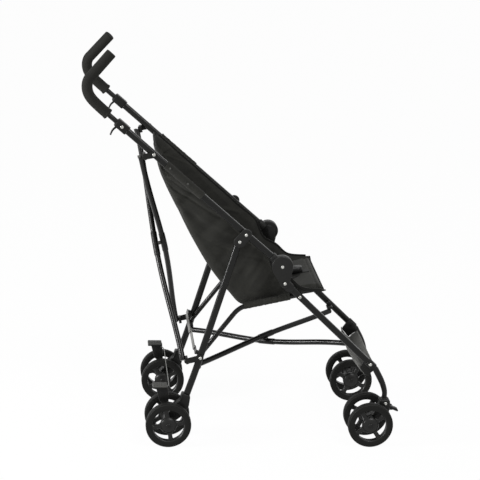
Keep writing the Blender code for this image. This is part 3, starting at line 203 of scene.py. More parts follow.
def rod_rings(path, across, deep=None, hint=OUT, sides=20, power=2.0, rounding=0.0012, groove=0.0):
    """Rings of a bar along a path: |x/across|^power + |y/deep|^power = 1, rounded at both ends.

    Near an end the ring at depth r(1 - cos t) is drawn in by r(1 - sin t). A groove dents both faces
    across the hint by a narrow bell curve.
    """
    path, hint = np.asarray(path, float), np.asarray(hint, float)
    far = run_length(path)
    across = np.broadcast_to(np.asarray(across, float), far.shape)
    deep = across if deep is None else np.broadcast_to(np.asarray(deep, float), far.shape)
    lean = unit(np.gradient(path, far, axis=0))
    turn = np.linspace(0, math.pi / 2, 5)
    step = rounding * (1 - np.cos(turn))
    inside = far[(far > rounding * 1.02) & (far < far[-1] - rounding * 1.02)]
    at = np.concatenate((step, inside, far[-1] - step[::-1]))
    drawn = rounding * np.concatenate((1 - np.sin(turn), 0 * inside, 1 - np.sin(turn[::-1])))
    centre, tangent = (np.stack([np.interp(at, far, q[:, k]) for k in range(3)], 1) for q in (path, lean))
    tangent = unit(tangent)
    side = unit(hint - tangent * (tangent @ hint)[:, None])
    other = np.cross(tangent, side)
    angle = 2 * math.pi * (np.arange(sides) + 0.5) / sides
    x, y = (np.sign(wave) * np.abs(wave) ** (2 / power) for wave in (np.cos(angle), np.sin(angle)))
    x = x * (1 - groove * bell(y, 0.22))
    a, b = (np.maximum(np.interp(at, far, width) - drawn, 2e-5) for width in (across, deep))
    return (centre[:, None] + side[:, None] * (a[:, None] * x)[..., None]
            + other[:, None] * (b[:, None] * y)[..., None])


def rod(path, across, deep=None, **more):
    """A solid bar along a path."""
    return skin(rod_rings(path, across, deep, **more))


def frame_tube(path):
    """The frame's main tube: a little squared, with a shallow groove along both faces."""
    return rod(path, TUBE_R, power=2.9, groove=0.10, sides=28)


def sleeve(path, across, wall, **more):
    """A thin tube along a path: its outer rings, then its inner rings back again, closed in a loop."""
    outer, inner = (rod_rings(path, np.asarray(across) - w, rounding=1e-6, **more) for w in (0, wall))
    return skin(np.concatenate((outer, inner[::-1])), loop=True)


def spun(profile, centre, axis=OUT, sides=32, loop=False):
    """A profile of (height, radius) turned about an axis through centre."""
    height, radius = np.asarray(profile, float).T[..., None, None]
    guide = FORWARD if abs(axis[0]) < 0.9 else UP
    first = unit(guide - axis * (axis @ guide))
    angle = 2 * math.pi * np.arange(sides)[:, None] / sides
    ring = first * np.cos(angle) + np.cross(axis, first) * np.sin(angle)
    return skin(np.asarray(centre) + axis * height + ring * radius, loop=loop)


def edge_steps(low, high, edge):
    """Levels that round both rims: at depth e(1 - cos t) the outline is drawn in by e(1 - sin t)."""
    t = np.linspace(0, math.pi / 2, 4)
    depth, inset = edge * (1 - np.cos(t)), edge * (1 - np.sin(t))
    return np.concatenate((low + depth, high - depth[::-1])), np.concatenate((inset, inset[::-1]))


def slab(outline, low, high, edge=0.0012, origin=(0, 0, 0), axes=(FORWARD, UP, OUT)):
    """A flat outline stretched from low to high, with rounded rims."""
    p = np.asarray(outline, float)
    ahead, back = unit(np.roll(p, -1, 0) - p), unit(p - np.roll(p, 1, 0))
    turn_right = np.array(((0, -1), (1, 0)))
    n1, n2 = ahead @ turn_right, back @ turn_right
    area = np.sum(p[:, 0] * np.roll(p[:, 1], -1) - np.roll(p[:, 0], -1) * p[:, 1])
    miter = math.copysign(1, area) * (n1 + n2) / np.maximum(1 + np.sum(n1 * n2, 1), 0.5)[:, None]
    level, inset = edge_steps(low, high, edge)
    drawn = p[None] - miter[None] * inset[:, None, None]
    return skin(np.asarray(origin) + drawn[..., :1] * axes[0] + drawn[..., 1:] * axes[1]
                + level[:, None, None] * axes[2])


def block(centre, axes, halves, edge=0.0012, corner=0.002):
    """A box on three axes with rounded corners and edges."""
    a, b, c = halves
    return slab(rounded(((-a, -b), (a, -b), (a, b), (-a, b)), corner), -c, c, edge, centre, axes)


def disc(centre, low, high, radius, edge=0.0012, sides=36):
    """A round plate across the width, with rounded rims."""
    level, inset = edge_steps(low, high, edge)
    return spun(np.stack((level, radius - inset), 1), spot(centre), OUT, sides)


def screw(centre, seat, radius=0.0046):
    """A pan head with a recess, standing on a face."""
    profile = [(-0.0005, radius), (0.0006, radius), (0.0016, 0.86 * radius), (0.0022, 0.6 * radius),
               (0.0022, 0.42 * radius), (0.0010, 0.36 * radius), (0.0010, POLE)]
    return spun(profile, spot(centre, seat), OUT, 18)


def cloth(grid, wall):
    """A grid of points given a wall: each row runs out along one face and back along the other."""
    normal = unit(np.cross(np.gradient(grid, axis=1), np.gradient(grid, axis=0)))
    faces = grid + normal * wall / 2, (grid - normal * wall / 2)[:, ::-1]
    return skin(np.concatenate(faces, 1), cap="strip")


def volume(points, quads, caps):
    """Signed volume inside a shell, from the tetrahedra between its triangles and the origin."""
    fans = [[c[0], c[k], c[k + 1]] for c in caps for k in range(1, len(c) - 1)]
    tris = np.concatenate((quads[:, :3], quads[:, (0, 2, 3)], np.reshape(fans, (-1, 3)).astype(int)))
    a, b, c = (points[tris[:, k]] for k in range(3))
    return np.sum(a * np.cross(b, c)) / 6


def read(items, field, width=1, kind=np.float32):
    """One field of every vertex, face or corner of a mesh as an array, with a row for each."""
    values = np.empty(len(items) * width, kind)
    items.foreach_get(field, values)
    return values.reshape(-1, width) if width > 1 else values


def mark_edges(mesh):
    """Give each vertex how sharply its faces turn there: the largest 1 - cosine to a face's normal."""
    count = read(mesh.polygons, "loop_total", kind=np.int32)
    corner = read(mesh.loops, "vertex_index", kind=np.int32)
    owner = np.repeat(np.arange(len(count)), count)
    facing = read(mesh.polygons, "normal", 3)[owner]
    bend = 1 - np.sum(read(mesh.vertices, "normal", 3)[corner] * facing, 1)
    worn = np.zeros(len(mesh.vertices))
    np.maximum.at(worn, corner, bend)
    mesh.attributes.new("edge", "FLOAT", "POINT").data.foreach_set("value", np.clip(worn * 5, 0, 1))


def piece(name, shells, finish, body, side=1, stands_for="", crease=38):
    """One object from its shells, each mirrored to its side and turned outwards.

    It rides on a body, stands for a CAD node where one is named, and takes its finish as its material.
    """
    name, body, stands_for = (text.format(SIDES[side]) for text in (name, body, stands_for))
    places, faces, corners, capped, used = [], [], [], [], 0
    for points, quads, caps, uv in shells:
        points = points * (1, side, 1) + (REAR_X, 0, 0)
        if volume(points, quads, caps) < 0:
            quads, uv, caps = quads[:, ::-1], uv[:, ::-1], [c[::-1] for c in caps]
        places.append(points)
        faces.append(quads + used)
        corners.append(uv.reshape(-1))
        capped += [[k + used for k in c] for c in caps]
        used += len(points)
    corners.append(np.zeros(2 * sum(map(len, capped))))
    mesh = bpy.data.meshes.new(name)
    mesh.from_pydata(np.concatenate(places).tolist(), [], np.concatenate(faces).tolist() + capped)
    mesh.uv_layers.new(name="lay").data.foreach_set("uv", np.concatenate(corners).astype(np.float32))
    mesh.shade_smooth()
    mesh.set_sharp_from_angle(angle=math.radians(crease))
    mark_edges(mesh)
    mesh.materials.append(finish)
    made = bpy.data.objects.new(name, mesh)
    bpy.context.scene.collection.objects.link(made)
    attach(made, body)
    if stands_for:
        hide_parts(stands_for)
    return made


def draw_in(made):
    """Give a soft piece its own copy of its mesh."""
    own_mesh(made)


# ---- finishes --------------------------------------------------------------------------------

COLOURS = {"out": "Result", "data_type": "RGBA"}
TONE_SCALE = 60.0  # patches of tone about 17 mm broad
TONE_SPREAD = 0.12


def linear(code, gain=1.0):
    """An sRGB hex colour as linear red, green, blue and alpha."""
    value = np.array([int(code[k:k + 2], 16) / 255 for k in (1, 3, 5)])
    light = np.where(value <= 0.04045, value / 12.92, ((value + 0.055) / 1.055) ** 2.4)
    return (*(np.clip(light * gain, 0, 1)).tolist(), 1.0)


def node(tree, kind, inputs=(), out=0, **settings):
    """Add one shader node and give its output; inputs maps a socket to a value or to another socket."""
    made = tree.nodes.new("ShaderNode" + kind)
    for key, value in settings.items():
        setattr(made, key, value)
    for key, value in dict(inputs).items():
        if isinstance(value, bpy.types.NodeSocket):
            tree.links.new(value, made.inputs[key])
        else:
            made.inputs[key].default_value = value
    return made.outputs[out]


def blank(name, **constants):
    """A new material with only its shader, whose plain numbers are set on its own sockets."""
    made = bpy.data.materials.new(name)
    made.use_nodes = True
    shader = made.node_tree.nodes["Principled BSDF"]
    for key, value in constants.items():
        shader.inputs[key.replace("_", " ")].default_value = value
    return made, made.node_tree, shader


def hard(name, colour, worn, rough, grain, depth, cell=False, **constants):
    """A hard or foamed finish: fine grain as bump, slow changes of tone, and worn edges.

    The grain and its depth are in millimetres. Tone goes from colour x (1 - spread) to colour x (1 + spread).
    """
    made, tree, shader = blank(name, **constants)
    where = node(tree, "TexCoord", out="Object")
    slow = node(tree, "TexNoise", {"Vector": where, "Scale": TONE_SCALE, "Detail": 3.0})
    if cell:
        fine = node(tree, "TexVoronoi", {"Vector": where, "Scale": 1000 / grain})
    else:
        fine = node(tree, "TexNoise", {"Vector": where, "Scale": 1000 / grain, "Detail": 2.0})
    tone = node(tree, "Mix", {"Factor": slow, "A": linear(colour, 1 - TONE_SPREAD),
                              "B": linear(colour, 1 + TONE_SPREAD)}, **COLOURS)
    edge = node(tree, "Attribute", out="Fac", attribute_name="edge")
    rubbed = node(tree, "Math", {0: edge, 1: slow}, operation="MULTIPLY")
    rub = node(tree, "MapRange", {"Value": rubbed, "From Min": 0.12, "From Max": 0.5, "To Max": 0.7})
    mixed = node(tree, "Mix", {"Factor": rub, "A": tone, "B": linear(worn)}, **COLOURS)
    sheen = node(tree, "MapRange", {"Value": slow, "From Min": 0.3, "From Max": 0.7,
                                    "To Min": rough - 0.05, "To Max": rough + 0.06})
    bump = node(tree, "Bump", {"Height": fine, "Strength": 0.5, "Distance": depth / 1000})
    for socket, value in (("Base Color", mixed), ("Roughness", sheen), ("Normal", bump)):
        tree.links.new(value, shader.inputs[socket])
    return made


def woven(name, colour, light, thread, rough=0.85, rib=False, stitch=None, depth=0.25, **constants):
    """Woven cloth on the piece's own UV: threads cross over and under each other.

    Warp and weft are sines of u and v with the thread's pitch in millimetres, and the higher one shows.
    A rib keeps only the weft. A stitch is (distance in u, pitch), both in millimetres.
    """
    made, tree, shader = blank(name, Roughness=rough, **constants)
    lay = node(tree, "SeparateXYZ", {0: node(tree, "UVMap", uv_map="lay")}).node.outputs
    pitch = 2 * math.pi / (thread / 1000)
    sines = []
    for axis in "XY":
        turn = node(tree, "Math", {0: lay[axis], 1: pitch}, operation="MULTIPLY")
        sine = node(tree, "Math", {0: turn}, operation="SINE")
        sines.append(node(tree, "MapRange", {"Value": sine, "From Min": -1.0}))
    height = sines[1]
    if not rib:
        product = node(tree, "Math", {0: sines[0], 1: sines[1]}, operation="MULTIPLY")
        height = node(tree, "Math", {0: product, 1: sines[1]}, operation="MAXIMUM")
    where = node(tree, "TexCoord", out="Object")
    slow = node(tree, "TexNoise", {"Vector": where, "Scale": 22.0, "Detail": 4.0, "Roughness": 0.6})
    fluff = node(tree, "TexNoise", {"Vector": where, "Scale": 900.0, "Detail": 2.0})
    shade = node(tree, "Math", {0: height, 1: slow}, operation="MULTIPLY")
    fac = node(tree, "MapRange", {"Value": shade, "From Min": 0.1, "From Max": 0.65})
    tone = node(tree, "Mix", {"Factor": fac, "A": linear(colour, 0.86), "B": linear(light)}, **COLOURS)
    edge = node(tree, "Attribute", out="Fac", attribute_name="edge")
    faded = node(tree, "MapRange", {"Value": edge, "To Max": 0.35})
    last = node(tree, "Mix", {"Factor": faded, "A": tone, "B": linear(light, 1.25)}, **COLOURS)
    bumped = node(tree, "Math", {0: fluff, 1: 0.35, 2: height}, operation="MULTIPLY_ADD")
    if stitch:
        off = node(tree, "Math", {0: lay["X"], 1: stitch[0] / 1000}, operation="SUBTRACT")
        near = node(tree, "Math", {0: off}, operation="ABSOLUTE")
        line = node(tree, "Math", {0: near, 1: 0.0007}, operation="LESS_THAN")
        turn = node(tree, "Math", {0: lay["Y"], 1: 2000 * math.pi / stitch[1]}, operation="MULTIPLY")
        sine = node(tree, "Math", {0: turn}, operation="SINE")
        beat = node(tree, "Math", {0: sine, 1: -0.35}, operation="GREATER_THAN")
        sewn = node(tree, "Math", {0: line, 1: beat}, operation="MULTIPLY")
        last = node(tree, "Mix", {"Factor": sewn, "A": last, "B": linear("#6a6a67")}, **COLOURS)
        bumped = node(tree, "Math", {0: sewn, 1: 2.0, 2: bumped}, operation="MULTIPLY_ADD")
    bump = node(tree, "Bump", {"Height": bumped, "Strength": 0.6, "Distance": depth / 1000})
    tree.links.new(last, shader.inputs["Base Color"])
    tree.links.new(bump, shader.inputs["Normal"])
    return made


# Powder-coated steel tube: a satin black skin with a slight orange peel, which takes crisp long highlights.
COATED = hard("powder_coated_steel", "#121211", "#242422", 0.24, 1.6, 0.010, Specular_IOR_Level=0.2)
# Bright zinc-plated steel: pale, faintly blotched and quite sharp in its highlights.
ZINC = hard("zinc_plated_steel", "#a8a8a4", "#d6d6d2", 0.24, 0.9, 0.02, Metallic=1.0)
# Zinc gone dull grey, as on the press studs and the cross pins.
DULL_ZINC = hard("dull_zinc", "#4c4c4a", "#6a6a67", 0.38, 0.9, 0.02, Metallic=1.0)
# Zinc-plated bar and wire, duller than the screws because they were rolled and drawn.
ROLLED = hard("rolled_zinc_bar", "#7c7c79", "#a2a29e", 0.42, 1.2, 0.04, Metallic=1.0)
# Injection-moulded nylon with a fine spark-eroded grain; corners rub a little paler.
NYLON = hard("moulded_black_nylon", "#131312", "#272725", 0.36, 1.1, 0.06, Specular_IOR_Level=0.18)
# The same nylon in dark grey, as the hubs and the oval plates have.
GREY_NYLON = hard("moulded_grey_nylon", "#1a1a19", "#343432", 0.38, 1.1, 0.06, Specular_IOR_Level=0.18)
# Closed-cell foam grip: matt, with small cells.
FOAM = hard("closed_cell_foam", "#1e1e1c", "#2c2c2a", 0.80, 1.5, 0.22, cell=True, Specular_IOR_Level=0.14)
# Polypropylene wheel centre, smooth from its mould.
WHEEL_PP = hard("moulded_wheel_centre", "#121211", "#282826", 0.34, 1.4, 0.04, Specular_IOR_Level=0.26)
# Foamed EVA tyre: matt and slightly pitted, scuffed paler on its shoulders.
TYRE = hard("foamed_eva_tyre", "#161615", "#3a3a37", 0.60, 1.8, 0.14, cell=True, Specular_IOR_Level=0.12)
# Grey thermoplastic rubber of the brake tread.
TREAD = hard("grey_tread_rubber", "#4e4e4c", "#6a6a66", 0.7, 1.0, 0.08, Specular_IOR_Level=0.2)
# Charcoal polyester in plain weave. Real threads are 0.4 mm; they are drawn at 1.5 mm so that they show.
POLYESTER = woven("woven_charcoal_polyester", "#292927", "#33332f", 1.5, Sheen_Weight=0.05,
                  Specular_IOR_Level=0.1)
# The seat cushion's cover: the sling's own cloth in a paler copy, painted light for its upward-facing top,
# which catches more light. Drawn at 1.5 mm too.
PAINTED_LIT_COVER = woven("cushion_cover_cloth_painted_lit", "#32322f", "#42423e", 1.5, Sheen_Weight=0.08, Specular_IOR_Level=0.12)
# Hemming tape: a ribbed ribbon with a line of lockstitch, 3.2 mm a stitch.
TAPE = woven("ribbed_hemming_tape", "#1b1b1a", "#262624", 1.2, rib=True, stitch=(4.2, 3.2), Sheen_Weight=0.04,
             Specular_IOR_Level=0.1)
# PVC-coated oxford cloth of the footrest: mid grey, smoother and a little shiny.
OXFORD = woven("coated_oxford_cloth", "#585856", "#686864", 1.6, rough=0.6, depth=0.15,
               Specular_IOR_Level=0.25)
# Polypropylene webbing with 1.8 mm ribs across it.
WEBBING = woven("ribbed_webbing", "#171716", "#242422", 1.8, rib=True, rough=0.6, depth=0.35,
                Specular_IOR_Level=0.15)


# ---- one side of the frame ---------------------------------------------------------------------

def push_point(distance, y=LEG_Y):
    """A point on the push tube at a distance from the hub."""
    return spot(along(HUB, PUSH_WAY, distance), y)


def leg_point(distance, y=LEG_Y):
    """A point on the front leg at a distance from its top screw."""
    return spot(along(FRONT_TOP, FRONT_WAY, distance), y)


def track(point, *distances):
    """Points of one of the tubes at several distances."""
    return [point(d) for d in distances]


CLAMP_AT = 0.555
PLATE_EDGE = 0.0022
LINK_TOP = along(HUB, PUSH_WAY, 0.128)
LINK_FOOT = along(LINK_TOP, PUSH_WAY + math.pi / 2, 0.0248)
BRACE_PIVOT = along(HUB, PUSH_WAY, 0.447)
SEAT_PIVOT = along(FRONT_TOP, FRONT_WAY, 0.0576)
LOWER_FRONT = along(FRONT_TOP, FRONT_WAY, 0.234)
FOOTREST_PIVOT = along(FRONT_TOP, FRONT_WAY, 0.326)

REAR_WAY = math.atan2(LINK_FOOT[1] - REAR_BEND[1], LINK_FOOT[0] - REAR_BEND[0])
REAR_UP = heading(REAR_WAY)
REAR_BACK = np.cross(REAR_UP, OUT)
SEAT_FOOT = along(REAR_BEND, REAR_WAY, 0.0415)
LOWER_REAR = along(REAR_BEND, REAR_WAY, 0.023)

# The spreader bar: its place on the rear leg, and its half height, thickness and distance behind the leg
BAR_AT = along(REAR_BEND, REAR_WAY, 0.052)
BAR_END = LEG_Y - 0.0335
BAR_HALF = 0.006
BAR_THICK = 0.0024
BAR_BACK = 0.020

BACK_DOWN = unit(spot(SEAT_FOOT) - spot(BRACE_PIVOT))
BACK_OUT = np.cross(OUT, BACK_DOWN)
BACK_TOP = spot(BRACE_PIVOT) + BACK_OUT * 0.0337
BACK_FOOT = spot(SEAT_FOOT) + BACK_OUT * 0.046
BACK_Y = LEG_Y - 0.0055
BACK_BOW = 0.0115
LOWER_WAY = unit(spot(LOWER_FRONT) - spot(LOWER_REAR))
LOWER_UP = np.cross(LOWER_WAY, OUT)
LOWER_Y = LEG_Y - 0.0285
# How far the lower arms lie below the line of their pivots, in front for each side and behind, and their bows
LOWER_DROP = {1: 0.019, -1: 0.016}
LOWER_REAR_DROP = 0.0125
LOWER_BOW = {1: 0.0056, -1: -0.0140}
BOSS_DEPTH = 0.0036
PIN_R = 0.005
MIDWAY = 20  # the point of an arm that its centre pin sits at
CUFF = slice(MIDWAY - 2, MIDWAY + 3)  # the points under its sleeve
WRAP = 0.0009  # the wall of the cloth round the tubes


def push_pieces(side):
    """The push tube with its handle, clamp, hub and the cloth sleeve that the seat hangs from."""
    body = "push_{}"
    tube = [frame_tube(track(push_point, 0.0195, 0.25, 0.565)), rod(track(push_point, 0.560, 0.626), 0.0065)]
    tube = piece("push_tube_{}_coated", tube, COATED, body, side, "push_tube_{}")

    bend = [(-0.2062, 0.9120), (-0.2172, 0.9275), (-0.2215, 0.9455), (-0.2180, 0.9632), (-0.2055, 0.9785),
            (-0.1602, 1.0302)]
    inward = (0.0012, 0.0030, 0.0055, 0.0085, 0.0115, 0.0220)
    path = curve(track(push_point, 0.602, 0.626) + [spot(p, LEG_Y - y) for p, y in zip(bend, inward)])
    handle = [rod(path, 0.0139, sides=30, rounding=0.0030),
              rod(track(push_point, 0.6005, 0.6075), 0.0148, sides=30, rounding=0.002)]
    piece("grip_{}_foam", handle, FOAM, body, side, "grip_{}")

    way = unit(push_point(1) - push_point(0))
    across = np.cross(way, OUT)
    middle = push_point(CLAMP_AT)
    half = 0.0115
    root = middle + way * 0.010 + across * 0.0095
    tail_way = unit(across * 2 - way * 0.1)
    tail = curve([root, root + tail_way * 0.0135 + way * 0.002, root + tail_way * 0.027 - way * 0.001])
    clamp = [block(middle, (way, OUT, across), (0.018, half, half), 0.0025, 0.004),
             rod([middle - way * 0.019, middle - way * 0.0165], 0.0122, sides=28),
             rod([middle + way * 0.0165, middle + way * 0.019], 0.0105, sides=28),
             rod(tail, np.linspace(0.0030, 0.0022, len(tail)), sides=12)]
    piece("handle_clamp_{}", clamp, NYLON, body, side, "connector_{}")
    housing = [disc(HUB, LEG_Y - 0.0045, HUB_FACE, HUB_R, 0.0028, 56),
               rod(track(push_point, 0.016, 0.037), 0.01175, sides=28, rounding=0.0015, power=2.6)]
    piece("hub_housing_{}", housing, GREY_NYLON, body, side, "hub_{}")
    piece("push_screws_{}", [screw(middle[[0, 2]], LEG_Y + half)], ZINC, body, side)

    share = np.linspace(0, 1, 60)
    top, foot = track(push_point, 0.405, 0.280)
    fullness = 0.0108 + 0.0006 * ripple(share * 40, 0 * share, 3) + 0.0007 * bell(share, 0.03)
    wrap = sleeve(top + (foot - top) * share[:, None], fullness, WRAP, sides=28)
    made = piece("push_tube_sleeve_{}", [wrap], POLYESTER, body, side)
    snaps = [spun([(0, 0.0030), (0.0010, 0.0028), (0.0016, 0.0018), (0.0017, POLE)],
                  push_point(d, LEG_Y + 0.0107), OUT, 20) for d in (0.392, 0.331)]
    piece("sleeve_snaps_{}", snaps, DULL_ZINC, body, side)


def link_pieces(side):
    """The oval plate between push tube and rear leg, with its two screws."""
    seat = TUBE_FACE + GAP
    face = seat + 0.0064
    plate = [slab(stadium(LINK_TOP, LINK_FOOT, 0.0152, 0.0152, 18), seat, face, PLATE_EDGE)]
    piece("link_plate_{}_moulded", plate, GREY_NYLON, "link_{}", side, "link_plate_{}")
    piece("link_screws_{}", [screw(LINK_TOP, face), screw(LINK_FOOT, face)], ZINC, "link_{}", side)


def front_leg_pieces(side):
    """The straight front tube, its two hub plates, and the thinner bent end that holds the caster."""
    body = "front_leg_{}"
    tube = [frame_tube(track(leg_point, -0.008, 0.15, 0.334)),
            slab(stadium(HUB, FRONT_TOP, 0.018, 0.011), LEG_Y - 0.0089, LEG_Y - 0.0049)]
    piece("front_tube_{}_coated", tube, COATED, body, side, "front_tube_{}")

    seat = HUB_FACE + GAP
    face = seat + 0.0061
    foot = along(FRONT_TOP, FRONT_WAY, 0.018)
    plate = [slab(stadium(HUB, FRONT_TOP, HUB_R, 0.012, 20), seat, face, PLATE_EDGE),
             slab(stadium(FRONT_TOP, foot, 0.0118, 0.0118, 14), LEG_Y - 0.006, seat + 0.001, 0.001)]
    piece("hub_plate_{}", plate, GREY_NYLON, body, side)
    heads = [screw(HUB, face), screw(FRONT_TOP, face), screw(SEAT_PIVOT, TUBE_FACE),
             screw(FOOTREST_PIVOT, TUBE_FACE + 0.0018)]
    piece("front_leg_screws_{}", heads, ZINC, body, side)

    bend = curve([spot(p, LEG_Y) for p in (
        along(FOOTREST_PIVOT, FRONT_WAY, 0.022), (SWIVEL_X - 0.0085, 0.165),
        (SWIVEL_X, CASTER_TOP + 0.020), (SWIVEL_X, CASTER_TOP))], 10)
    path = np.concatenate(([leg_point(0.310)], bend, [spot((SWIVEL_X, WHEEL_R + 0.043), LEG_Y)]))
    wide, thin, count = 0.0082, 0.0068, len(path)
    radius = np.interp(np.arange(count), (0, 8, count * 0.7, count), (wide, wide, thin, thin))
    piece("leg_end_{}_coated", [rod(path, radius, sides=24)], COATED, body, side, "leg_end_{}")
    collar = [rod(track(leg_point, 0.316, 0.342), 0.0106, sides=28, power=2.6, rounding=0.0018)]
    piece("knee_collar_{}", collar, NYLON, body, side)


def seat_tube_pieces(side):
    """The bent tube under the seat's edge and the cloth channel that runs along it."""
    body = "seat_rail_{}"
    foot, bend, front = (spot(p, SEAT_TUBE_Y) for p in (SEAT_FOOT, SEAT_BEND, SEAT_PIVOT))
    way_in, way_out = unit(bend - foot), unit(front - bend)
    past, length, round_it = 0.006, 0.123, 0.0086
    path = rounded([foot - way_in * past, bend, front + way_out * past], 0.024, closed=False, steps=14)
    tube = [rod(path, SEAT_TUBE_R, sides=24)]
    tube = piece("seat_tube_{}_coated", tube, COATED, body, side, "seat_tube_{}")
    share = np.linspace(0, 1, 90)
    run = bend + way_out * (0.012 + length * share[:, None])
    fullness = round_it + 0.0007 * ripple(share * 55, 0 * share, 11) + 0.0006 * bell(1 - share, 0.03)
    made = piece("seat_tube_channel_{}", [sleeve(run, fullness, WRAP, sides=26)], POLYESTER, body, side)
    draw_in(made)


def boss(centre):
    """The round boss about an axle, from one twin wheel to the other."""
    return disc(centre, LEG_Y - BOSS_HALF, LEG_Y + BOSS_HALF, BOSS_R, 0.0015)


def axle_pieces(end, centre, body, side):
    """A steel axle through both twins with a low domed cap on each end."""
    seat = TWIN_HALF + 0.0113
    cap = [(0.0022, POLE), (0.0020, 0.003), (0.0012, 0.0055), (0, 0.0065), (0, 0.003)]
    profile = [(-seat - h, r) for h, r in cap] + [(seat + h, r) for h, r in cap[::-1]]
    piece(end + "_axle_{}_capped", [spun(profile, spot(centre, LEG_Y), OUT, 24)], NYLON, body, side,
          end + "_axle_{}")


def rear_leg_pieces(side):
    """The flat-oval rear tube, the moulded housing at its foot, its axle and its tab for the bar."""
    body = "rear_leg_{}"
    path = rounded([spot(p, LEG_Y) for p in (along(LINK_FOOT, REAR_WAY, 0.004), REAR_BEND, REAR_END)], 0.03,
                   closed=False, steps=12)
    reach = BAR_BACK + side * (BAR_THICK + GAP) / 2 - BAR_THICK - GAP
    leg = spot(BAR_AT, LEG_Y)
    half = 0.005
    inner, outer = BAR_END - BAR_HALF, LEG_Y + half
    tube = [rod(path, 0.007, 0.009, sides=28, power=2.5, groove=0.05),
            block(leg + REAR_BACK * reach / 2, (REAR_BACK, OUT, REAR_UP), (reach / 2, half, half)),
            block(leg + REAR_BACK * reach + OUT * ((inner + outer) / 2 - LEG_Y), (OUT, REAR_UP, REAR_BACK),
                  ((outer - inner) / 2, BAR_HALF, BAR_THICK / 2), 0.0004)]
    piece("rear_tube_{}_coated", tube, COATED, body, side, "rear_tube_{}")

    outline = rounded([
        REAR_END + (0.0155, 0.016), REAR_END + (-0.0075, 0.024), REAR_END + (-0.0125, 0.004),
        PEDAL_PIVOT + (0.017, 0.004),
        PEDAL_PIVOT + (0.0085, -0.012), (-0.010, WHEEL_R + 0.010), (-0.010, WHEEL_R - 0.008),
        (0.004, WHEEL_R - 0.013), (REAR_END[0] - 0.008, WHEEL_R + 0.010), REAR_END + (0.012, -0.014)], 0.006)
    half = 0.013
    housing = [slab(outline, LEG_Y - half, LEG_Y + half, 0.003),
               boss((0, WHEEL_R))]
    ear, wall = stadium(PEDAL_PIVOT, PEDAL_PIVOT + (0.018, -0.006), 0.006, 0.008), 0.004
    housing += [slab(ear, LEG_Y + low, LEG_Y + low + wall, 0.001) for low in (-half, half - wall)]
    piece("rear_housing_{}_moulded", housing, NYLON, body, side, "rear_housing_{}")
    axle_pieces("rear", (0, WHEEL_R), body, side)


def brake_pieces(side):
    """The foot brake: a broad lever from its pivot up to a ribbed grey tread."""
    body = "brake_{}"
    x, z = PEDAL_TREAD
    barrel = [along(PEDAL_PIVOT, turn, 0.0048) for turn in np.radians((200, 235, 270, 305, 340))]
    outline = [(x + 0.021, z), (x - 0.0115, z), PEDAL_PIVOT + (-0.0192, 0.0134), *barrel,
               PEDAL_PIVOT + (0.0053, 0.0134)]
    flat = (FORWARD, OUT, UP)
    lever = [slab(rounded(outline, 0.003), LEG_Y - 0.0085, LEG_Y + 0.0085, 0.002),
             block(spot((x, z - 0.0008), LEG_Y), flat, (0.0195, 0.019, 0.0022), 0.0008, 0.003)]
    piece("brake_lever_{}", lever, NYLON, body, side, "brake_pedal_{}")
    pad = [block(spot((x, z + 0.0014), LEG_Y), flat, (0.0192, 0.0186, 0.0015), 0.0008, 0.003)]
    pad += [block(spot((x + step, z + 0.0031), LEG_Y), (OUT, FORWARD, UP), (0.016, 0.0011, 0.0006), 0.0004,
                  0.0008) for step in np.linspace(-0.0160, 0.0160, 8)]
    piece("brake_tread_{}", pad, TREAD, body, side)
    piece("brake_pin_{}", [screw(PEDAL_PIVOT, LEG_Y + 0.013, 0.0034)], ZINC, "rear_leg_{}", side)


def caster_pieces(side):
    """The swivelling block between the front twins, its axle, and the foot lever at its nose."""
    body = "caster_{}"
    x, top, axle = SWIVEL_X, CASTER_TOP, np.array((WHEELBASE, WHEEL_R))
    half = 0.016
    outline = rounded([
        (x - 0.0135, top), (x - 0.016, top - 0.012), axle + (0.006, 0.016), axle + (-0.008, 0.010),
        axle + (-0.010, -0.006), axle + (0.002, -0.013), (x - 0.004, axle[1] + 0.004),
        (x + 0.012, axle[1] + 0.016), (x + 0.0155, top - 0.010), (x + 0.0135, top)], 0.005)
    shell = [slab(outline, LEG_Y - half, LEG_Y + half, 0.0035),
             boss(axle),
             spun([(-0.006, 0.0125), (0.0, 0.0125), (0.0022, 0.0108), (0.0026, 0.0074), (0.0, 0.0072)],
                  spot((x, top), LEG_Y), UP, 32)]
    pivot = np.array((x + 0.020, top - 0.024))
    ear = stadium(pivot, (x + 0.008, pivot[1]), 0.0048, 0.0048)
    shell += [slab(ear, LEG_Y + low, LEG_Y + low + 0.003, 0.0008) for low in (0.0094, -0.0124)]
    piece("caster_block_{}_moulded", shell, NYLON, body, side, "caster_block_{}")
    piece("caster_screw_{}", [screw((x + 0.002, top - 0.010), LEG_Y + half)], ZINC, body, side)
    axle_pieces("front", axle, body, side)
    tip = np.array((x + 0.036, WHEEL_R + 0.027))
    lever = [slab(stadium(pivot, tip, 0.0038, 0.0024), LEG_Y - 0.009, LEG_Y + 0.009, 0.0014)]
    rib_axes = (OUT, unit(spot(tip - pivot)), np.array((0.76, 0, 0.65)))
    lever += [block(spot(pivot + (tip - pivot) * share, LEG_Y) + np.array((0.0022, 0, 0.0022)), rib_axes,
                    (0.0075, 0.0008, 0.0010), 0.0004, 0.0006) for share in (0.45, 0.62, 0.79)]
    piece("swivel_lever_{}_moulded", lever, NYLON, "swivel_lock_{}", side, "swivel_lever_{}")


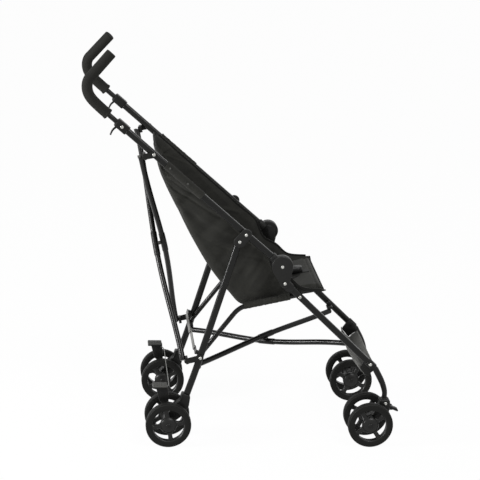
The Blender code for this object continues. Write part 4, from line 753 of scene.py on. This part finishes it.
def brace_bracket(side, place, pivot, end, seat):
    """A plate over the tube's outer face, with a boss behind it that meets the arm's end."""
    centre = end - BACK_OUT * (CROSS_R + GAP + BOSS_DEPTH)
    inner, face = BACK_Y - 0.008, seat + 0.004
    shells = [slab(stadium(pivot, centre[[0, 2]], 0.0085, 0.0075), seat, face, 0.0013),
              block(centre + OUT * (inner + face) / 2, (BACK_DOWN, OUT, BACK_OUT),
                    (0.009, (face - inner) / 2 - 0.0002, BOSS_DEPTH), 0.001, 0.003)]
    node_name, body = f"brace_{place}_bracket_{{}}", f"brace_{place}_{{}}"
    piece(node_name + "_moulded", shells, NYLON, body, side, node_name)
    piece(body + "_screw", [screw(pivot, face)], ZINC, body, side)


def cross_pieces(side):
    """The arms of the back and lower crosses, with the plastic sleeves at their centre pins.

    Each arm runs straight from its own side to the other, bowed by a squared sine of its length.
    """
    share = np.linspace(0, 1, 2 * MIDWAY + 1)[:, None]
    body = "brace_arm_{}"
    bow = np.sin(math.pi * share**1.15) ** 2 * side
    arm = (BACK_TOP * (1 - share) + BACK_FOOT * share + BACK_OUT * BACK_BOW * bow
           + OUT * BACK_Y * (1 - 2 * share))
    heads = [spun([(-0.0085, 0.004), (-0.001, 0.004), (0.0, 0.0028), (0.0, POLE)], arm[0], BACK_OUT * -1, 16)]
    if side > 0:
        heads.append(rod([arm[MIDWAY] - BACK_OUT * depth for depth in (0.0005, 0.0150)], PIN_R))
    tube = [rod(arm, ARM_R, hint=BACK_OUT, sides=24, rounding=0.002)]
    piece("brace_tube_{}_coated", tube, COATED, body, side, "brace_tube_{}")
    piece("brace_rivets_{}", heads, DULL_ZINC, body, side)
    piece("brace_sleeve_{}", [rod(arm[CUFF], CUFF_R, hint=BACK_OUT, sides=24)], NYLON, body, side)

    body = "lower_arm_{}"
    bow = np.sin(math.pi * share) ** 2 * LOWER_BOW[side]
    droop = LOWER_DROP[side] * (1 - share) + LOWER_REAR_DROP * share
    arm = (spot(LOWER_FRONT) * (1 - share) + spot(LOWER_REAR) * share + LOWER_UP * (bow - droop)
           + OUT * LOWER_Y * (1 - 2 * share))
    tube = [rod(arm, ARM_R, hint=LOWER_UP, sides=24, rounding=0.002)]
    piece("lower_tube_{}_coated", tube, COATED, body, side, "lower_tube_{}")
    piece("lower_sleeve_{}", [rod(arm[CUFF], CUFF_R, hint=LOWER_UP, sides=24)], NYLON, body, side)
    if side > 0:
        pin = [rod([arm[MIDWAY], arm[MIDWAY] - LOWER_UP * 0.0106], PIN_R, hint=LOWER_WAY)]
        piece("lower_pin_{}", pin, DULL_ZINC, body, side)


def clip_pieces(side):
    """The moulded clips that hold the lower cross: a block in front and a round boss behind."""
    centre = spot(LOWER_FRONT) + LOWER_UP * (CROSS_R + GAP + BOSS_DEPTH - LOWER_DROP[side])
    inner, outer = LOWER_Y - 0.008, LEG_Y - TUBE_R - GAP
    shells = [block(centre + OUT * (inner + outer) / 2, (LOWER_WAY, OUT, LOWER_UP),
                    (0.008, (outer - inner) / 2, BOSS_DEPTH), 0.001, 0.0025),
              slab(stadium(LOWER_FRONT, centre[[0, 2]], 0.006, 0.0055), LOWER_Y + CROSS_R + 0.0048, outer,
                   0.001)]
    piece("lower_front_clip_{}_moulded", shells, NYLON, "lower_head_{}", side, "lower_front_clip_{}")
    end = spot(LOWER_REAR) - LOWER_UP * LOWER_REAR_DROP
    outline = stadium(LOWER_REAR, end[[0, 2]], 0.0075, 0.0070)
    knob = [slab(outline, LOWER_Y + CROSS_R + GAP, LEG_Y - 0.0074, 0.001)]
    piece("lower_rear_clip_{}_moulded", knob, NYLON, "lower_foot_{}", side, "lower_rear_clip_{}")


def spreader_pieces(side):
    """Half of the folding bar behind the rear legs; the halves lap at the middle."""
    middle = spot(BAR_AT) + REAR_BACK * (BAR_BACK + side * (BAR_THICK + GAP) / 2)
    reach = (BAR_END + BAR_HALF) / 2
    bar = [block(middle + OUT * (BAR_END - BAR_HALF) / 2, (OUT, REAR_UP, REAR_BACK),
                 (reach + BAR_HALF, BAR_HALF, BAR_THICK / 2), 0.0004, 0.0055)]
    piece("spreader_bar_{}_rolled", bar, ROLLED, "spreader_{}", side, "spreader_bar_{}")


def wheel_pieces(side, end, place, centre, phase):
    """A wheel's moulded centre with four spokes, and its foam tyre."""
    body = f"{end}_{place}_spin_{{}}"
    hub = spot(centre, LEG_Y + (TWIN_HALF if place == "outer" else -TWIN_HALF))
    dish = [(-0.0095, 0.0042), (-0.0095, 0.0130), (-0.0070, 0.0190), (-0.003, 0.0222), (0.003, 0.0222),
            (0.0062, 0.0205), (0.0090, 0.0160), (0.0104, 0.0100), (0.0106, 0.0066), (0.0100, 0.0042)]
    rim = [(-0.0092, 0.0434), (-0.0092, 0.0450), (0.0092, 0.0450), (0.0092, 0.0434), (0.0080, 0.0422),
           (0.0, 0.0416), (-0.0080, 0.0422)]
    shells = [spun(dish, hub, OUT, 64, loop=True), spun(rim, hub, OUT, 72, loop=True)]
    root, tip, flare = 0.0195, 0.0432, 0.0035
    reach = np.linspace(root, tip, 14)
    spread = 0.0058 + 0.0040 * bell(reach - root, flare) + 0.0044 * bell(reach - tip, flare)
    for k in range(4):
        way = heading(math.radians(phase + 90 * k))
        shells.append(rod(hub + way * reach[:, None], spread, 0.0062, hint=np.cross(way, OUT), power=3.2,
                          rounding=0.0006))
    piece(f"{end}_wheel_centre_{{}}_{place}", shells, WHEEL_PP, body, side, f"{end}_wheel_{{}}_{place}")
    tread = rounded([(-0.0102, 0.0445), (-0.0108, 0.0490), (-0.0104, 0.0560), (-0.0080, 0.0600),
                     (0.0080, 0.0600), (0.0104, 0.0560), (0.0108, 0.0490), (0.0102, 0.0445),
                     (0.0088, 0.0438), (-0.0088, 0.0438)], 0.0022, steps=3)
    ridge = ((0.0098, 0.0572), (0.0104, 0.0575), (0.0098, 0.0580), (0.0090, 0.0576))
    shells = [spun(tread, hub, OUT, 88, loop=True)]
    shells += [spun([(s * y, r) for y, r in ridge], hub, OUT, 72, loop=True) for s in (-1, 1)]
    piece(f"{end}_tyre_{{}}_{place}", shells, TYRE, body, side)


# ---- the seat ----------------------------------------------------------------------------------

SEAT_CORNER = np.array((0.195, 0.3637))
SEAT_FRONT = np.array((0.404, 0.4065))
SEAT_SLOPE = math.atan2(SEAT_FRONT[1] - SEAT_CORNER[1], SEAT_FRONT[0] - SEAT_CORNER[0])
SEAT_FORWARD = heading(SEAT_SLOPE)
SEAT_UP = np.cross(SEAT_FORWARD, OUT)
SECTION_POWER = 0.14
CLOTH = 0.003
PAD = 0.016
PAD_LENGTH = 0.200
PAD_FRONT = 0.412
LAID = 0.0003  # the room between things that lie on each other
STRAP = 0.001
# Filling the cushion: its mesh size, pressure, number of steps, and how far a point may move
FILL_GRAIN = 0.0042
FILL_PRESSURE = 4.0
FILL_STEPS = 20
FILL_REACH = 0.0055


def on_seat(x, y, lift):
    """Points above the seat cloth's middle line at x, lifted square to the seat."""
    x, y, lift = np.broadcast_arrays(np.asarray(x, float), y, lift)
    z = SEAT_CORNER[1] + (x - SEAT_CORNER[0]) * math.tan(SEAT_SLOPE)
    return np.stack((x, y, z), -1) + (CLOTH / 2 + LAID + lift)[..., None] * SEAT_UP


def seat_grid():
    """The sling's middle surface: superellipse sections carried down the back and along the base.

    A section runs from edge to edge. With turn from -90 to 90 degrees, its width is sign(sin)|sin|^p and
    its depth below the edge is |cos|^p, with p = SECTION_POWER. Its points are spaced evenly by length, and
    cubics join the sections.
    """
    steps = (0.0, 0.045, 0.10, 0.17, 0.24, 0.31, 0.36)
    edge = [along(HUB, PUSH_WAY, 0.412 - s) for s in steps]
    edge += [(0.272, 0.471), (0.310, 0.448), (0.345, 0.420), (0.404, 0.4145)]
    back = [(-0.041, 0.764), (-0.033, 0.724), (-0.0175, 0.684), (0.014, 0.622), (0.058, 0.538),
            (0.104, 0.462), (0.154, 0.398)]
    base = [SEAT_CORNER + (SEAT_FRONT - SEAT_CORNER) * s for s in (0, 0.33, 0.66, 1)]
    on_back = np.array([1.0] * len(back) + [0.0] * len(base))[:, None]
    back = np.array(back + base)[:, None]
    edge = np.array(edge)[:, None]
    samples, columns = 2401, 161
    turn = math.pi * (np.linspace(0, 1, samples) - 0.5)
    width = np.sign(np.sin(turn)) * np.abs(np.sin(turn)) ** SECTION_POWER
    depth = np.abs(np.cos(turn)) ** SECTION_POWER
    depth[[0, -1]] = 0
    rise = 1 - depth
    half = SEAT_HALF + (LEG_Y - TUBE_R - CLOTH / 2 - GAP - SEAT_HALF) * np.maximum(0, (rise - 0.25) / 0.75)
    line = back + (edge - back) * rise[None, :, None]
    pull = 0.002 * width**2 * depth * on_back
    dense = np.stack((line[..., 0] + 0.8 * pull, np.broadcast_to(width * half, pull.shape),
                      line[..., 1] + 0.5 * pull), -1)
    even = [np.stack([np.interp(np.linspace(0, far[-1], columns), far, row[:, k]) for k in range(3)], 1)
            for far, row in zip(run_length(dense), dense)]
    return curve(even, 16)


def seat_cloth():
    """The sewn sling with its folds, and the tape that binds its edges."""
    grid = seat_grid()
    rows, columns = grid.shape[:2]
    v, u = np.meshgrid(np.linspace(0, 1, rows), np.linspace(-1, 1, columns), indexing="ij")
    out = np.abs(u)
    normal = unit(np.cross(np.gradient(grid, axis=1), np.gradient(grid, axis=0)))
    inward = unit(np.array((0.18, 0, 0.40)) - grid)
    normal *= np.sign(np.sum(normal * inward, 2))[..., None]
    # Slanting folds, fine ripples and creases on the wings
    wing = ramp(out - 0.50, 0.22) * ramp(1.0 - out, 0.06)
    hang = np.clip(1.15 - np.abs(v - 0.45) / 0.5, 0, 1)
    broad = ripple(v * 40 + out * 5, u * 2.5, 5)
    fold = wing * hang * (0.0052 * (1 + broad) + 0.0016 * (1 + ripple(v * 85, out * 12, 8)))
    crease = np.abs(ripple(v * 9 - out * 7, u * 3 + v * 4, 14))
    fold += wing * hang * 0.0034 * bell(crease, 0.09)
    # Slack in the back's middle, two pleats from the wings' top corners, and the seam between back and wing
    fold += ramp(0.50 - out, 0.12) * ramp(0.62 - v, 0.1) * 0.0022 * ripple(v * 15, u * 9, 21)
    for start, lean, deep in ((0.10, 0.14, 0.0048), (0.22, 0.20, 0.0032)):
        pleat = deep * bell(v - start - lean * (1 - out), 0.016)
        fold += pleat * ramp(out - 0.45, 0.1) * ramp(1.0 - out, 0.1)
    fold -= 0.0009 * bell((out - 0.60) * columns / 2, 1.1)
    grid = grid + normal * fold[..., None]
    made = piece("seat_sling", [cloth(grid, 0.0018)], POLYESTER, "seat", 1, "seat_hammock", crease=70)

    middle = columns // 2
    hems = [rod(line[2:-2], 0.0018, 0.0048, sides=16, power=3.0, rounding=0.001)
            for line in (grid[:, 0], grid[:, -1])]
    drop = unit(grid[3, middle] - grid[0, middle])
    hems.append(rod(grid[0], 0.0048, 0.0018, hint=drop, sides=16, power=3.0))
    hems.append(rod(grid[-1], 0.0055, 0.0020, hint=SEAT_FORWARD, sides=16, power=3.0))
    tape = piece("seat_hem_tape", hems, TAPE, "seat")
    draw_in(made)
    draw_in(tape)


def pad_start():
    """The cushion before it is filled: a low crowned form, a little smaller than the finished one.

    With u from 0 to 1 along it and v from -1 to 1 across it, the crown is (1 - (2u - 1)^8)(1 - v^8).
    """
    u, v = np.meshgrid(np.linspace(0, 1, 41), np.linspace(-1, 1, 49), indexing="ij")
    edge = (1 - np.abs(2 * u - 1) ** 8) * (1 - np.abs(v) ** 8)
    tight = 0.0025
    x = PAD_FRONT - tight + (PAD_LENGTH - 2 * tight) * (u - 1) * math.cos(SEAT_SLOPE)
    y = v * (0.1285 + 0.019 * u**2) * (1 - 0.03 * np.cos(math.pi * (u - 0.5)))
    under = 0.0008 + 0.0026 * (1 - edge)
    low, top = on_seat(x, y, under), on_seat(x, y, under + 0.0116 * (0.5 + 0.5 * edge**0.5))
    return skin(np.concatenate((top, low[:, ::-1]), 1), cap="strip")


def apply_modifiers(made):
    """Make what a piece's modifiers show its own mesh."""
    bpy.context.view_layer.update()
    mesh = bpy.data.meshes.new_from_object(made.evaluated_get(bpy.context.evaluated_depsgraph_get()))
    made.modifiers.clear()
    made.data = mesh
    return mesh


def filled(made, reach):
    """Blow a closed form up as cloth under pressure, and keep each point within reach of its start."""
    scene = bpy.context.scene
    bpy.context.view_layer.objects.active = made
    grain = made.modifiers.new("even", "REMESH")
    grain.mode = "VOXEL"
    grain.voxel_size = FILL_GRAIN
    mesh = apply_modifiers(made)
    start = read(mesh.vertices, "co", 3)
    sim = made.modifiers.new("filling", "CLOTH")
    sim.settings.use_pressure = True
    sim.settings.uniform_pressure_force = FILL_PRESSURE
    sim.settings.effector_weights.gravity = 0.0
    sim.point_cache.frame_start = 1
    sim.point_cache.frame_end = FILL_STEPS
    for step in range(1, FILL_STEPS + 1):
        scene.frame_set(step)
    seen = made.evaluated_get(bpy.context.evaluated_depsgraph_get())
    move = read(seen.data.vertices, "co", 3) - start
    made.modifiers.clear()
    scene.frame_set(1)
    length = np.maximum(np.linalg.norm(move, axis=1, keepdims=True), 1e-9)
    mesh.vertices.foreach_set("co", (start + move * np.minimum(1, reach / length)).ravel())
    mesh.update()


def seat_pad():
    """The cushion: filled as cloth, then two channels across it and a line along its middle, behind the rear
    channel, are drawn in.
    """
    # The cushion wears the paler copy of the sling's cloth, painted light for its lit top.
    made = piece("seat_cushion", [pad_start()], PAINTED_LIT_COVER, "seat", 1, "seat_pad", crease=70)
    filled(made, FILL_REACH)
    finer = made.modifiers.new("finer", "SUBSURF")
    finer.levels = finer.render_levels = 1
    mesh = apply_modifiers(made)
    place = read(mesh.vertices, "co", 3).astype(float) - (REAR_X, 0, 0)
    run = (place - spot(SEAT_CORNER)) @ SEAT_FORWARD
    lift = (place - spot(SEAT_CORNER)) @ SEAT_UP - CLOTH / 2 - LAID
    front = (PAD_FRONT - SEAT_CORNER[0]) / math.cos(SEAT_SLOPE)
    rear_channel = front - 0.085
    channel = bell(run - (front - 0.022), 0.0035) + bell(run - rear_channel, 0.0040)
    middle = bell(place[:, 1], 0.0045) * (run < rear_channel)
    puff = ramp(lift, 0.012)
    sunk = 0.0036 * channel + 0.0026 * middle + 0.0006 * ripple(run * 180, place[:, 1] * 140, 31)
    place += (np.clip(lift - puff * sunk, 0.0006, PAD) - lift)[:, None] * SEAT_UP
    mesh.vertices.foreach_set("co", (place + (REAR_X, 0, 0)).astype(np.float32).ravel())
    mesh.update()
    mesh.shade_smooth()
    if "edge" in mesh.attributes:
        mesh.attributes.remove(mesh.attributes["edge"])
    mark_edges(mesh)
    lay_uv(mesh)
    draw_in(made)


def lay_uv(mesh):
    """A UV in metres laid over the seat: u across it and v along it."""
    place = read(mesh.vertices, "co", 3)
    corner = read(mesh.loops, "vertex_index", kind=np.int32)
    uv = np.stack((place[:, 1], place @ SEAT_FORWARD.astype(np.float32)), 1)[corner]
    layer = mesh.uv_layers.get("lay") or mesh.uv_layers.new(name="lay")
    layer.data.foreach_set("uv", uv.ravel())


def harness_pieces():
    """The waist belts and crotch strap, and the buckle that joins them."""
    top = PAD + STRAP + LAID
    x = 0.352
    tape = {"sides": 28, "power": 4.0, "rounding": 0.0004}
    belts = []
    for side in (-1, 1):
        path = [(-0.124, SEAT_HALF - 0.0105, 0.009), (-0.080, SEAT_HALF * 0.554, 0.002), (-0.012, 0.034, 0),
                (0, 0.012, 0), (0, -0.004, 0)]
        path = curve([on_seat(x + ahead, side * y, top + lift) for ahead, y, lift in path], 12)
        belts.append(rod(path, 0.0125, STRAP, hint=SEAT_FORWARD, **tape))
    path = [on_seat(x + ahead, 0, top + lift) for ahead, lift in ((-0.008, 0), (0.018, 0), (0.036, -0.0006))]
    belts.append(rod(curve(path, 10), 0.0125, STRAP, **tape))
    draw_in(piece("waist_and_crotch_straps", belts, WEBBING, "seat", 1, "harness"))

    half = 0.0075
    centre = on_seat(x, 0, top + STRAP + LAID + half)
    axes = (SEAT_FORWARD, OUT, SEAT_UP)
    outline = rounded([(-0.020, -0.0155), (-0.008, -0.018), (0.010, -0.017), (0.020, -0.011), (0.020, 0.011),
                       (0.010, 0.017), (-0.008, 0.018), (-0.020, 0.0155)], 0.006)
    shells = [slab(outline, -0.0073, 0.0073, 0.003, centre, axes)]
    shells += [block(centre + OUT * y, axes, (0.009, 0.0009, 0.0035), 0.0006, 0.001)
               for y in (-0.0177, 0.0177)]
    draw_in(piece("buckle_housing", shells, NYLON, "seat", 1, "buckle"))
    button = centre + SEAT_UP * (half - 0.003 + 0.0005)
    press = [block(button, axes, (0.0085, 0.0085, 0.003), 0.001, 0.0025),
             spun([(0, 0.0050), (0.0006, 0.0046), (0.0006, 0.0034), (0, 0.0030)], button + SEAT_UP * 0.0029,
                  SEAT_UP, 24, loop=True)]
    piece("buckle_button_moulded", press, GREY_NYLON, "button", 1, "buckle_button")


def footrest_pieces(side):
    """A moulded cheek inside the front leg, and half of the cloth trough along the cheeks' lower edges.

    With w from 0 at the middle to 1 at the cheek and s from 0 to 1 round the trough, the cloth sags by
    (1 - w^4) sin(pi s)^0.6 and hangs back by (1 - w^2)(1 - s).
    """
    body = "front_leg_{}"
    outer = LEG_Y - 0.0073
    inner = outer - 0.0050
    back, bottom, front = np.array(((0.5080, 0.2030), (0.5275, 0.1780), (0.5505, 0.1965)))
    upper, mid, lower = (p[[0, 2]] for p in track(leg_point, 0.312, 0.318, 0.338))
    outline = rounded([upper, back, bottom, front, lower + (0.006, 0.004), mid + (0.004, 0.005)], 0.005)
    cheek = [slab(outline, inner, outer, 0.0014), disc(FOOTREST_PIVOT, inner - 0.0012, outer, 0.0070, 0.001)]
    cheek = piece("footrest_cheek_{}", cheek, NYLON, body, side)

    run = curve([back + (-0.0010, 0.0030), back + (0.0035, -0.0064), bottom + (-0.0052, 0.0048),
                 bottom + (0.0036, 0.0012), front + (-0.0120, -0.0100), front + (0.0006, -0.0012)], 12)
    w, s = np.meshgrid(np.linspace(0, 1, 61), np.linspace(0, 1, len(run)))
    sag = 0.0034 * (1 - w**4) * np.sin(math.pi * s) ** 0.6 + 0.0009 * ripple(w * 13, s * 8, 41) * (1 - w**6)
    slack = 0.010 * (1 - w**2) * (1 - s)
    grid = np.stack((run[:, :1] - 0.25 * sag - slack, w * (inner - GAP - 0.001), run[:, 1:] - sag), -1)
    made = piece("footrest_cloth_{}", [cloth(grid, 0.0016)], OXFORD, body, side, "footrest", crease=70)
    hems = [rod(grid[row], 0.0034, 0.0016, hint=unit(grid[b, 0] - grid[a, 0]), sides=14, power=3.0)
            for row, a, b in ((0, 0, 1), (-1, -2, -1))]
    hem = piece("footrest_hems_{}", hems, OXFORD, body, side)
    for soft in (made, hem):
        draw_in(soft)


def brake_wire_pieces(side):
    """Half of the thin steel wire between the brakes, a shallow bow that ends in a ferrule."""
    reach = LEG_Y - 0.0088
    bow = [(0, 1, 0), (0.0014, 0.965, 0), (0.0063, 0.87, 0), (0.007, 0.5, -0.0013), (0.007, 0, -0.00195)]
    path = curve([(PEDAL_PIVOT[0] + ahead, reach * share, 0.146 + rise) for ahead, share, rise in bow], 14)
    wire = [rod(path, 0.0011, sides=10, hint=UP, rounding=0.0002),
            rod([path[0], path[6]], 0.0024, sides=16, hint=UP, rounding=0.0006)]
    made = piece("brake_wire_{}", wire, ROLLED, "rear_leg_{}", side, "brake_wire")
    draw_in(made)


# ---- room, light and camera ----------------------------------------------------------------------

def seen_share(tree):
    """One for rays that come straight from the view or off a gloss, and their Light Path outputs."""
    rays = node(tree, "LightPath").node.outputs
    return node(tree, "Math", {0: rays["Is Camera Ray"], 1: rays["Is Glossy Ray"]}, operation="MAXIMUM"), rays


def studio():
    """A pale floor, an even white surround and two soft lamps."""
    bpy.ops.mesh.primitive_plane_add(size=30, location=(0, 0, 0))
    floor = bpy.context.object
    floor.name = "pale_floor"
    paper, tree, shader = blank("pale_studio_floor", Roughness=1.0, Specular_IOR_Level=0.0)
    shader.inputs["Base Color"].default_value = linear("#f4f4f2")
    seen = seen_share(tree)[0]
    glow = node(tree, "Emission", {"Color": (1, 1, 1, 1), "Strength": 1.0})
    share = node(tree, "Math", {0: seen, 1: 0.97}, operation="MULTIPLY")
    mixed = node(tree, "MixShader", {0: share, 1: shader.outputs[0], 2: glow})
    tree.links.new(mixed, tree.nodes["Material Output"].inputs["Surface"])
    floor.data.materials.append(paper)

    world = bpy.data.worlds.new("white_surround")
    bpy.context.scene.world = world
    world.use_nodes = True
    tree = world.node_tree
    seen, rays = seen_share(tree)
    seen = node(tree, "Math", {0: seen, 1: rays["Is Transmission Ray"]}, operation="MAXIMUM")
    strength = node(tree, "MapRange", {"Value": seen, "To Min": 0.36, "To Max": 1.0})
    surround = tree.nodes["Background"]
    surround.inputs["Color"].default_value = (1, 1, 1, 1)
    tree.links.new(strength, surround.inputs["Strength"])

    for place, size, watts in (((1.2, -2.2, 3.2), 1.4, 70.0), ((-3.0, -0.8, 1.3), 0.7, 95.0)):
        lamp = bpy.data.lights.new("soft_lamp", "AREA")
        lamp.size = size
        lamp.energy = watts
        held = bpy.data.objects.new("soft_lamp", lamp)
        bpy.context.scene.collection.objects.link(held)
        held.location = place
        held.rotation_euler = (Vector((0, 0, 0.5)) - Vector(place)).to_track_quat("-Z", "Y").to_euler()


def place_camera():
    """The photograph's view: a long lens from the right-hand side, a little behind and above."""
    yaw, pitch, roll = (math.radians(a) for a in (5.2, 14.36, 1.82))
    ahead = np.array((math.sin(yaw) * math.cos(pitch), math.cos(yaw) * math.cos(pitch), -math.sin(pitch)))
    right = np.array((math.cos(yaw), -math.sin(yaw), 0.0))
    above = np.cross(right, ahead)
    right, above = (right * math.cos(roll) + above * math.sin(roll),
                    above * math.cos(roll) - right * math.sin(roll))
    lens = bpy.data.cameras.new("photo_camera")
    lens.lens, lens.sensor_width, lens.clip_end = 134.925, 36.0, 60.0
    camera = bpy.data.objects.new("photo_camera", lens)
    bpy.context.scene.collection.objects.link(camera)
    turn = Matrix(np.stack((right, above, -ahead), 1).tolist()).to_4x4()
    camera.matrix_world = Matrix.Translation((REAR_X - 0.232, -4.682, 1.708)) @ turn
    bpy.context.scene.camera = camera


def dress():
    """Every piece of the pushchair, side by side and then the middle."""
    for side in SIDES:
        for make in (push_pieces, link_pieces, front_leg_pieces, seat_tube_pieces, rear_leg_pieces,
                     brake_pieces, caster_pieces):
            make(side)
        brace_bracket(side, "foot", SEAT_FOOT, BACK_FOOT, LEG_Y + 0.007 + GAP)
        brace_bracket(side, "head", BRACE_PIVOT, BACK_TOP, TUBE_FACE + GAP)
        for make in (cross_pieces, clip_pieces, spreader_pieces):
            make(side)
        for end, x, phases in (("rear", 0.0, (10, 33)), ("front", WHEELBASE, (34, 62))):
            for place, phase in zip(("outer", "inner"), phases):
                wheel_pieces(side, end, place, (x, WHEEL_R), phase)
        footrest_pieces(side)
        brake_wire_pieces(side)
    seat_cloth()
    seat_pad()
    harness_pieces()


dress()
studio()
place_camera()
bpy.context.scene.view_settings.view_transform = "Standard"
